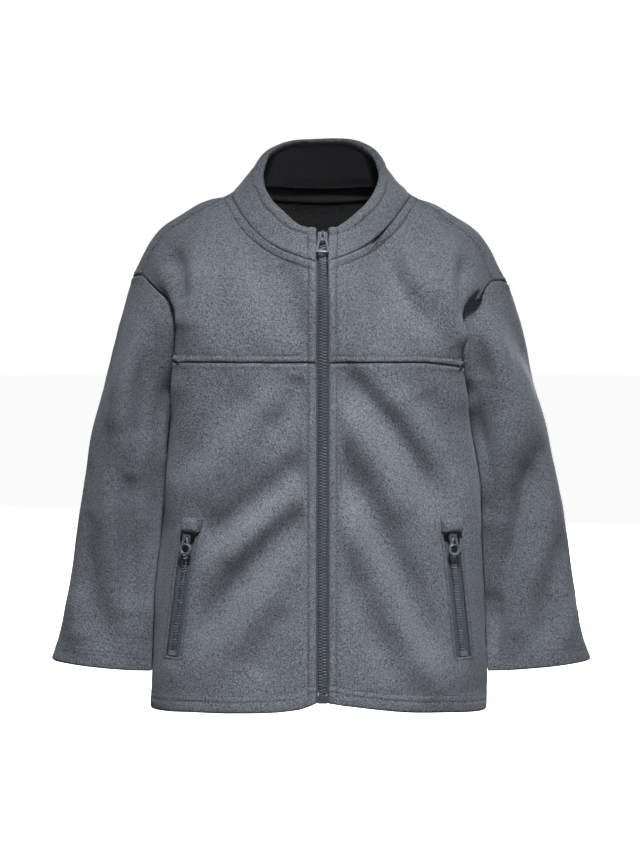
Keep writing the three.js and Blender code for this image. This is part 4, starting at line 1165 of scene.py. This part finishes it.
class Garment:
    """The cloth pieces, sewn together."""

    def __init__(self) -> None:
        """Names the pieces with their cuts and rows of stitches."""
        self.panels = [
            Panel("back", B, (0.400, 0.492), 0.187, ((SEAMS, "collar", (NECK_ROW,)), (HEMS, "", HEM_ROWS))),
            Panel("collar", C, (0.435, 0.084), 0.0325, ((ZIPS, "", (ZIP_ROW,)),)),
        ]
        for side, width, area in (("left", 0.213, 0.0673), ("right", 0.208, 0.0654)):
            rows = ((ZIPS, "", (ZIP_ROW,)), (HEMS, "", HEM_ROWS), (WINDOWS, "", (WINDOW_ROW,)))
            self.panels.append(Panel(f"front_{side}", B, (width, 0.325), area, rows))
            rows = ((ZIPS, "", (ZIP_ROW,)), (SEAMS, "collar", (NECK_ROW,)), (SEAMS, "front", (YOKE_ROW,)))
            self.panels.append(Panel(f"yoke_{side}", B, (0.200, 0.152), 0.0229, rows))
            rows = ((HEMS, "", CUFF_ROWS),)
            self.panels.append(Panel(f"sleeve_{side}", S, (0.330, 0.366), 0.0854, rows))

    def named(self) -> dict[str, Panel]:
        """The pieces by the node they come from."""
        return {panel.node: panel for panel in self.panels}

    def build(self, finishes: Finishes) -> None:
        """Makes every cloth piece.

        Args:
            finishes: The materials.
        """
        for panel in self.panels:
            panel.take_wall()
        edges = {p.node: Panel._tree([Vector(c) * MM for c in p.coarse_edge()], []) for p in self.panels}
        for panel in self.panels:
            panel.refine([tree for name, tree in edges.items() if name != panel.node])
        for panel in self.panels:
            panel.name_edges(self.panels)
        named = self.named()
        for panel in self.panels:
            panel.soften_seams(named)
        for panel in self.panels:
            panel.normals = panel.shared
            panel.shape()
        self._close_seams(named)
        for side in ("left", "right"):
            rests_on = [named["back"], named[f"front_{side}"], named[f"yoke_{side}"]]
            named[f"sleeve_{side}"].lean_on(rests_on)
        rows = Bag()
        for panel in self.panels:
            self._sew(panel, rows)
        self._sew_rim(named["collar"], rows)
        for side in ("left", "right"):
            patch = Patch(f"pocket_garage_{side}").build(finishes, rows)
        self._neck_tape(named, finishes)
        thread = rows.piece("stitching", finishes.thread, "fleece")
        log.info("stitching: %d triangles", count_triangles(thread))
        for panel in self.panels:
            piece = panel.build(finishes)
            log.info("%s: %d triangles", piece.name, count_triangles(piece))

    @staticmethod
    def _close_seams(named: dict[str, Panel]) -> None:
        """Brings the edges of pieces that are sewn together close to each other."""
        before = {name: panel.points.copy() for name, panel in named.items()}
        for name, panel in named.items():
            for k, (mate, other) in panel.meets.items():
                panel.points[k] += (before[mate][other] - before[name][k]) * SEAM_CLOSING

    @staticmethod
    def _sew_rim(collar: Panel, bag: Bag) -> None:
        """Sews the row under the collar's rim, outside and inside.

        Args:
            collar: The cloth of the collar.
            bag: Takes the stitches.
        """
        top = rim_of(collar.rest)
        away = top[:, :2] - np.array([ZIP_X, 5.0])
        out = np.column_stack((unit(away), np.zeros(len(top))))
        for side in (1.0, -1.0):
            points, normals = [], []
            for place in top[3:-3] + out[3:-3] * side * 4.0 - np.array([0, 0, RIM_ROW]):
                hit, normal, _, _ = collar.surface.find_nearest(Vector(place))
                points.append(np.array(hit))
                normals.append(np.array(normal))
            Stitching().sew(Line(np.array(points), unit(np.array(normals))), bag)

    @staticmethod
    def _neck_tape(named: dict[str, Panel], finishes: Finishes) -> None:
        """Lays the tape over the neck seam, inside.

        Args:
            named: The pieces by name.
            finishes: The materials.
        """
        collar = named["collar"]
        ways = {name: panel.inwards() for name, panel in named.items()}
        run = max(collar.stretch(SEAMS, ""), key=len)[2:-2:2]
        grid, out = [], []
        for share in (5.5, 2.6, 0.0, -3.2, -6.4, -9.4):
            row = []
            for k in run:
                name, other = collar.meets[k]
                if share >= 0:
                    row.append(collar.under(collar.rest[k] + ways["collar"][k] * share, 0.4))
                else:
                    panel = named[name]
                    row.append(panel.under(panel.rest[other] - ways[name][other] * share, 0.4))
            grid.append([point for point, _ in row])
            out.append([way for _, way in row])
        rows = np.array(grid)
        for _ in range(3):
            rows[:, 1:-1] = (rows[:, :-2] + rows[:, 1:-1] * 2 + rows[:, 2:]) / 4
        tape = Bag()
        strip(tape, rows, unit(np.array(out)), -0.5)
        piece = tape.piece("neck_tape_sewn", finishes.binding, "zip_tape")
        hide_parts("neck_tape")

    @staticmethod
    def _sew(panel: Panel, bag: Bag) -> None:
        """Sews the rows of one piece."""
        for kinds, mate, distances in panel.stitches:
            for run in panel.stretch(kinds, mate):
                for distance in distances:
                    Stitching().sew(panel.line_inside(run, distance), bag)


def count_triangles(piece: bpy.types.Object) -> int:
    """Number of triangles of a mesh object."""
    return sum(len(p.vertices) - 2 for p in piece.data.polygons)


@dataclass
class Chain:
    """Teeth of a zip along a path on the frame."""

    node: str
    pitch: float
    half: float
    high: float
    ends: tuple = (0.1, 0.0)

    def spine(self) -> Line:
        """Finds the middle line of the chain's face by looking at the node from the front.

        Returns:
            The line, with the directions that the face looks in.
        """
        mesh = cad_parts[self.node].data
        points = np.array([v.co for v in mesh.vertices]) / MM
        faces = [tuple(p.vertices) for p in mesh.polygons]
        tree = BVHTree.FromPolygons([Vector(p) for p in points], faces)
        low, high = points[:, 2].min(), points[:, 2].max()
        foot, head = (points[np.abs(points[:, 2] - z) < 9.0][:, 0].mean() for z in (low, high))
        found, normals = [], []
        for t in np.linspace(0.004, 0.996, 240):
            x, z = foot + (head - foot) * t, low + (high - low) * t
            hit, normal, _, _ = tree.ray_cast(Vector((x, -400, z)), Vector((0, 1, 0)))
            if hit is not None:
                found.append(np.array(hit))
                normals.append(np.array(normal))
        down = unit(found[0] - found[6])
        found.insert(0, found[0] + down * self.ends[0])
        normals.insert(0, normals[0])
        return Line(np.array(found), unit(np.array(normals)))

    def tooth(self) -> tuple[np.ndarray, list]:
        """One tooth: a shank on the tape, a neck and a round head past the middle.

        Returns:
            Its points and its faces.
        """
        outline = [
            (-self.half, -0.44), (-1.1, -0.46), (-0.5, -0.30), (0.1, -0.24), (0.6, -0.36),
            (0.95, -0.34), (1.15, -0.12), (1.15, 0.12), (0.95, 0.34), (0.6, 0.36),
            (0.1, 0.24), (-0.5, 0.30), (-1.1, 0.46), (-self.half, 0.44),
        ]
        flat = np.array(outline) * (1.0, self.pitch * 0.5)
        middle = flat.mean(axis=0)
        slope = 0.7 * self.high * smooth((flat[:, 0] + 1.4) / 2.2)
        layers = ((-self.high / 2, 1.0, 0.0), (self.high * 0.3, 1.0, 0.75), (self.high / 2, 0.72, 1.0))
        rings = [
            np.column_stack(((flat - middle) * s + middle, z - slope * share)) for z, s, share in layers
        ]
        n = len(flat)
        faces = [tuple(range(n))[::-1], tuple(range(2 * n, 3 * n))]
        for level in range(2):
            for a in range(n):
                b = (a + 1) % n
                faces.append((level * n + a, level * n + b, (level + 1) * n + b, (level + 1) * n + a))
        return np.concatenate(rings), faces

    def build(self, name: str, finishes: Finishes) -> bpy.types.Object:
        """Makes both rows of teeth and replaces the node.

        Args:
            name: Name of the piece.
            finishes: The materials.

        Returns:
            The teeth as one piece.
        """
        line = self.spine().resampled(0.5)
        run = np.arange(len(line.points)) * (line.length / (len(line.points) - 1))
        bag = Bag()
        points, faces = self.tooth()
        for k in range(int((line.length - self.ends[1]) / (self.pitch / 2))):
            at = (k + 0.5) * self.pitch / 2
            place = np.array([np.interp(at, run, line.points[:, c]) for c in range(3)])
            ahead = np.array([np.interp(at + 1.5, run, line.points[:, c]) for c in range(3)])
            behind = np.array([np.interp(at - 1.5, run, line.points[:, c]) for c in range(3)])
            normal = unit(np.array([np.interp(at, run, line.normals[:, c]) for c in range(3)]))
            up = unit(ahead - behind)
            side = unit(np.cross(up, normal)) * (1 if k % 2 else -1)
            seat = place - normal * (self.high * 0.5 - 0.35)
            moved = seat + points @ np.stack([side, up, normal])
            flip = np.dot(np.cross(side, up), normal) < 0
            bag.add(moved, [f[::-1] for f in faces] if flip else faces)
        piece = bag.piece(name, finishes.teeth, "zip_teeth")
        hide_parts(self.node)
        return piece

    def cords(self, name: str, half: float, under: float, finishes: Finishes) -> bpy.types.Object:
        """Makes the edges of both tapes that meet under the teeth.

        Args:
            name: Name of the piece.
            half: How far they reach to each side.
            under: How far they lie under the face of the chain.
            finishes: The materials.

        Returns:
            Both edges as one piece.
        """
        line = self.spine().resampled(3.0)
        up = unit(np.gradient(line.points, axis=0))
        side = unit(np.cross(up, line.normals))
        seat = line.points - line.normals * under
        rows = np.stack([seat + side * half * share for share in (-1.0, 0.0, 1.0)], axis=1)
        bag = Bag()
        strip(bag, rows, np.repeat(line.normals[:, None], 3, axis=1), 0.6)
        return bag.piece(name, finishes.tape, "zip_tape")


@dataclass
class Patch:
    """Small plump cloth patch laid over a node, seen face on; sizes in millimetres."""

    node: str
    crown: float = 2.9
    roll: float = 3.0
    row: float = 2.2
    tall: int = 24
    wide: int = 32

    def frame_of(self) -> tuple:
        """Finds how the node lies.

        Returns:
            Search tree of its faces, its corners, and its outward direction.
        """
        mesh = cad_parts[self.node].data
        points = np.array([v.co for v in mesh.vertices]) / MM
        faces = [tuple(p.vertices) for p in mesh.polygons]
        ahead = [np.array(p.normal) * p.area for p in mesh.polygons if p.normal[1] < -0.5]
        normal = unit(np.sum(ahead, axis=0))
        side = unit(np.cross(np.array([0.0, 0.0, 1.0]), normal))
        up = np.cross(normal, side)
        middle = points.mean(axis=0)
        flat = np.column_stack(((points - middle) @ side, (points - middle) @ up))
        ways = ((-1, 1.3), (1, 1.3), (-1, -1.3), (1, -1.3))
        picks = [flat[np.argmax(flat @ np.array(way))] for way in ways]
        tree = BVHTree.FromPolygons([Vector(p) for p in points], faces)
        return tree, picks, middle, side, up, normal

    def build(self, finishes: Finishes, rows: Bag) -> bpy.types.Object:
        """Makes the patch, with stitches down its sides and along its top.

        Args:
            finishes: The materials.
            rows: The mesh that the stitches go into.

        Returns:
            The patch.
        """
        tree, (top_a, top_b, low_a, low_b), middle, side, up, normal = self.frame_of()
        high = np.linalg.norm(top_a - low_a)
        broad = np.linalg.norm(top_b - top_a)
        grid = np.zeros((self.tall, self.wide, 3))
        rim = np.zeros((self.tall, self.wide))
        for r, v in enumerate(np.linspace(-1, 1, self.tall)):
            for c, u in enumerate(np.linspace(-1, 1, self.wide)):
                bent_u, bent_v = u * (1.05 - 0.07 * v**6), v * (1.02 - 0.08 * u**6)
                share_u, share_v = (bent_u + 1) / 2, (bent_v + 1) / 2
                low = low_a + (low_b - low_a) * share_u
                flat = low + (top_a + (top_b - top_a) * share_u - low) * share_v
                start = middle + side * flat[0] + up * flat[1] + normal * 30
                hit, _, _, _ = tree.ray_cast(Vector(start), Vector(-normal))
                base = np.array(hit) if hit is not None else start - normal * 30
                edge = min((1 - abs(u)) * broad / 2, (1 - abs(v)) * high / 2)
                lift = self.crown * (1 - u**4) * (1 - v**4)
                lift -= self.roll * (1 - float(smooth(edge / 1.7)))
                lift -= 0.45 * math.exp(-(((edge - self.row) / 0.7) ** 2)) * (v > -0.7)
                grid[r, c] = base + normal * lift
                rim[r, c] = 1 - float(smooth((edge - 0.7) / 1.2))
        bag = Bag()
        strip(bag, grid, np.broadcast_to(normal, grid.shape), 1.6)
        piece = bag.piece(self.node + "_cloth", finishes.fleece, "fleece")
        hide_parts(self.node)
        # Painted shadow round the patch's outline, darkest at its edge.
        mark = piece.data.attributes.new("pressed", "FLOAT", "POINT")
        mark.data.foreach_set("value", np.concatenate((rim.ravel(), rim.ravel())).astype(np.float32))
        inset = 3
        trail = [grid[r, inset] for r in range(2, self.tall - inset)]
        trail += [grid[self.tall - 1 - inset, c] for c in range(inset, self.wide - inset)]
        trail += [grid[r, self.wide - 1 - inset] for r in range(self.tall - 1 - inset, 1, -1)]
        line = Line(np.array(trail), np.broadcast_to(normal, (len(trail), 3)))
        Stitching().sew(line, rows)
        return piece


@dataclass
class Hardware:
    """Nodes of the frame that keep their shape and get softened edges and a finish."""

    nodes: tuple
    material: bpy.types.Material
    round_mm: float

    def dress(self) -> None:
        """Rounds the edges and gives the finish."""
        for name in self.nodes:
            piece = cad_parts[name]
            piece.data.materials.clear()
            piece.data.materials.append(self.material)
            weld = piece.modifiers.new("weld", "WELD")
            weld.merge_threshold = 2e-6
            if self.round_mm:
                edge = piece.modifiers.new("rounded", "BEVEL")
                edge.width = self.round_mm * MM
                edge.segments = 2
                edge.limit_method = "ANGLE"
                edge.angle_limit = math.radians(30)
                edge.harden_normals = True


@dataclass
class PullRim:
    """Raised rounded rims along the outline and the openings of a pull tab; sizes in millimetres."""

    node: str
    body: str
    radius: float = 0.62
    inset: float = 0.45
    sides: int = 8

    def loops(self) -> list:
        """Finds the outlines of the tab's outer face.

        Returns:
            The outlines, each as points in order, with the face's direction.
        """
        bm = bmesh.new()
        bm.from_mesh(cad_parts[self.node].data)
        bmesh.ops.remove_doubles(bm, verts=bm.verts, dist=2e-6)
        bm.normal_update()
        face = max((f for f in bm.faces if f.normal.y < -0.3), key=lambda f: f.calc_area())
        normal = face.normal.copy()
        level = face.verts[0].co.dot(normal)
        flat = {
            f for f in bm.faces
            if f.normal.dot(normal) > 0.999 and abs(f.verts[0].co.dot(normal) - level) < 2e-5
        }
        after = {}
        for f in flat:
            for loop in f.loops:
                if not flat.issuperset(loop.edge.link_faces):
                    after[loop.vert.index] = loop.link_loop_next.vert.index
        bm.verts.ensure_lookup_table()
        found = []
        while after:
            start = next(iter(after))
            ring = [start]
            here = after.pop(start)
            while here != start:
                ring.append(here)
                here = after.pop(here)
            found.append(np.array([bm.verts[k].co for k in ring]) / MM)
        bm.free()
        return found, np.array(normal)

    def build(self, finishes: Finishes) -> bpy.types.Object:
        """Makes the rims, which move with the tab.

        Args:
            finishes: The materials.

        Returns:
            The rims as one piece.
        """
        found, normal = self.loops()
        bag = Bag()
        for ring in found:
            run = np.vstack((ring, ring[:1]))
            span = np.concatenate(([0.0], np.cumsum(np.linalg.norm(np.diff(run, axis=0), axis=1))))
            at = np.linspace(0, span[-1], max(16, int(span[-1] / 0.6)), endpoint=False)
            path = np.stack([np.interp(at, span, run[:, k]) for k in range(3)], axis=1)
            for _ in range(2):
                path = (np.roll(path, 1, axis=0) + 2 * path + np.roll(path, -1, axis=0)) / 4
            along = unit(np.roll(path, -1, axis=0) - np.roll(path, 1, axis=0))
            inward = unit(np.cross(normal, along))
            middle = path + inward * self.inset
            count = len(middle)
            turn = np.arange(self.sides) / self.sides * 2 * math.pi
            tube = middle[:, None] + self.radius * (
                np.cos(turn)[None, :, None] * inward[:, None] + np.sin(turn)[None, :, None] * normal
            )
            faces = []
            for a in range(count):
                for c in range(self.sides):
                    b, d = (a + 1) % count, (c + 1) % self.sides
                    low, high = a * self.sides, b * self.sides
                    faces.append((low + c, low + d, high + d, high + c))
            bag.add(tube.reshape(-1, 3), faces)
        return bag.piece(self.node + "_rim", finishes.rims, "zip_pulls", self.body)


@dataclass
class Studio:
    """Camera, lights, floor and backdrop."""

    target: tuple = (-0.00095, 0.0, -0.215)
    lit: tuple = (0.01, -0.08, -0.40)
    distance: float = 2.6
    elevation: float = 4.0
    seen_high: float = 0.8103
    floor_z: float = -0.62
    wall_away: float = 9.0

    def camera(self) -> None:
        """Sets the camera at the photograph's viewing angle."""
        rise = math.radians(self.elevation)
        data = bpy.data.cameras.new("camera")
        data.sensor_width = 36
        data.lens = data.sensor_width * self.distance / self.seen_high
        camera = bpy.data.objects.new("camera", data)
        back = Vector((0, -math.cos(rise), math.sin(rise)))
        camera.location = Vector(self.target) + back * self.distance
        camera.rotation_euler = (math.pi / 2 - rise, 0, 0)
        bpy.context.scene.collection.objects.link(camera)
        bpy.context.scene.camera = camera

    def lamp(self, name: str, place: tuple, size: float, watts: float, spread: float = 180) -> None:
        """Adds a soft square light that looks at the lower half of the object.

        Args:
            name: Its name.
            place: Where it stands, in metres.
            size: Its side, in metres.
            watts: Its power.
            spread: Angle of its beam in degrees.
        """
        data = bpy.data.lights.new(name, "AREA")
        data.size = size
        data.energy = watts
        data.spread = math.radians(spread)
        lamp = bpy.data.objects.new(name, data)
        lamp.location = place
        lamp.rotation_euler = (Vector(self.lit) - lamp.location).to_track_quat("-Z", "Y").to_euler()
        bpy.context.scene.collection.objects.link(lamp)

    def build(self) -> None:
        """Makes the lights, the world, the floor and the backdrop."""
        self.lamp("key", (0.1, -1.5, 1.65), 0.3, 1.95, 25)
        self.lamp("fill", (0.1, -3.0, -0.3), 1.0, 0.22, 28)
        self.lamp("side", (2.3, -1.4, 0.6), 0.5, 4)
        self.lamp("rear", (0.8, 2.5, 0.5), 1.2, 95)
        world = bpy.data.worlds.new("studio")
        world.use_nodes = True
        ground = world.node_tree.nodes["Background"]
        ground.inputs["Color"].default_value = (0.94, 0.97, 1, 1)
        ground.inputs["Strength"].default_value = 0.07
        bpy.context.scene.world = world
        bpy.context.scene.view_settings.view_transform = "Standard"
        floor = bmesh.new()
        bmesh.ops.create_circle(floor, cap_ends=True, segments=96, radius=self.wall_away)
        self._surround("floor", floor, Backdrop("pale_floor", 0.9, 0.9))
        wall = bmesh.new()
        bmesh.ops.create_uvsphere(wall, u_segments=64, v_segments=32, radius=self.wall_away)
        self._surround("backdrop", wall, Backdrop("pale_backdrop", 0.9, 1.0))

    def _surround(self, name: str, bm: bmesh.types.BMesh, finish: Backdrop) -> None:
        """Adds the floor or the backdrop, seen by the camera alone so that no light comes off it.

        Args:
            name: Its name.
            bm: Its mesh.
            finish: Its finish.
        """
        mesh = bpy.data.meshes.new(name)
        bm.to_mesh(mesh)
        bm.free()
        mesh.materials.append(finish.make())
        piece = bpy.data.objects.new(name, mesh)
        piece.location = (0, 0, self.floor_z)
        for ray in ("diffuse", "glossy", "transmission", "shadow"):
            setattr(piece, "visible_" + ray, False)
        bpy.context.scene.collection.objects.link(piece)


PULLS = (
    ("front_pull", "front_zip_pull"),
    ("pocket_pull_left", "left_pocket_pull"),
    ("pocket_pull_right", "right_pocket_pull"),
)


def main() -> None:
    """Builds the jacket and its studio around the frame."""
    logging.basicConfig(level=logging.INFO, format="%(message)s")
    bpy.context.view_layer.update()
    studio = Studio()
    studio.camera()
    finishes = Finishes()
    Garment().build(finishes)
    front = Chain("zip_chain", 2.75, 3.3, 2.2, (3.0, 0.0)).build("zip_teeth_front", finishes)
    log.info("%s: %d triangles", front.name, count_triangles(front))
    cords = Chain("zip_chain", 2.75, 3.3, 2.2, (7.0, 0.0)).cords(
        "zip_tape_cords", CORDS_HALF, CORDS_UNDER, finishes
    )
    log.info("%s: %d triangles", cords.name, count_triangles(cords))
    for side in ("left", "right"):
        teeth = Chain(f"pocket_chain_{side}", 2.5, 2.6, 1.8).build(f"zip_teeth_{side}", finishes)
        log.info("%s: %d triangles", teeth.name, count_triangles(teeth))
    pockets = [f"pocket_{part}_{side}" for part in ("slider", "pull") for side in ("left", "right")]
    Hardware(("front_slider", "front_pull", *pockets), finishes.pull, 0.13).dress()
    for node, body in PULLS:
        PullRim(node, body).build(finishes)
    Hardware(("zip_box",), finishes.box, 0.3).dress()
    Hardware(("pocket_stop_left", "pocket_stop_right"), finishes.teeth, 0.3).dress()
    Hardware(("zip_tape_left", "zip_tape_right"), finishes.tape, 0.0).dress()
    Hardware(("pocket_tape_left", "pocket_tape_right"), finishes.pocket_tape, 0.0).dress()
    Hardware(("neck_label",), finishes.label, 0.15).dress()
    studio.build()


if __name__ == "__main__":
    main()
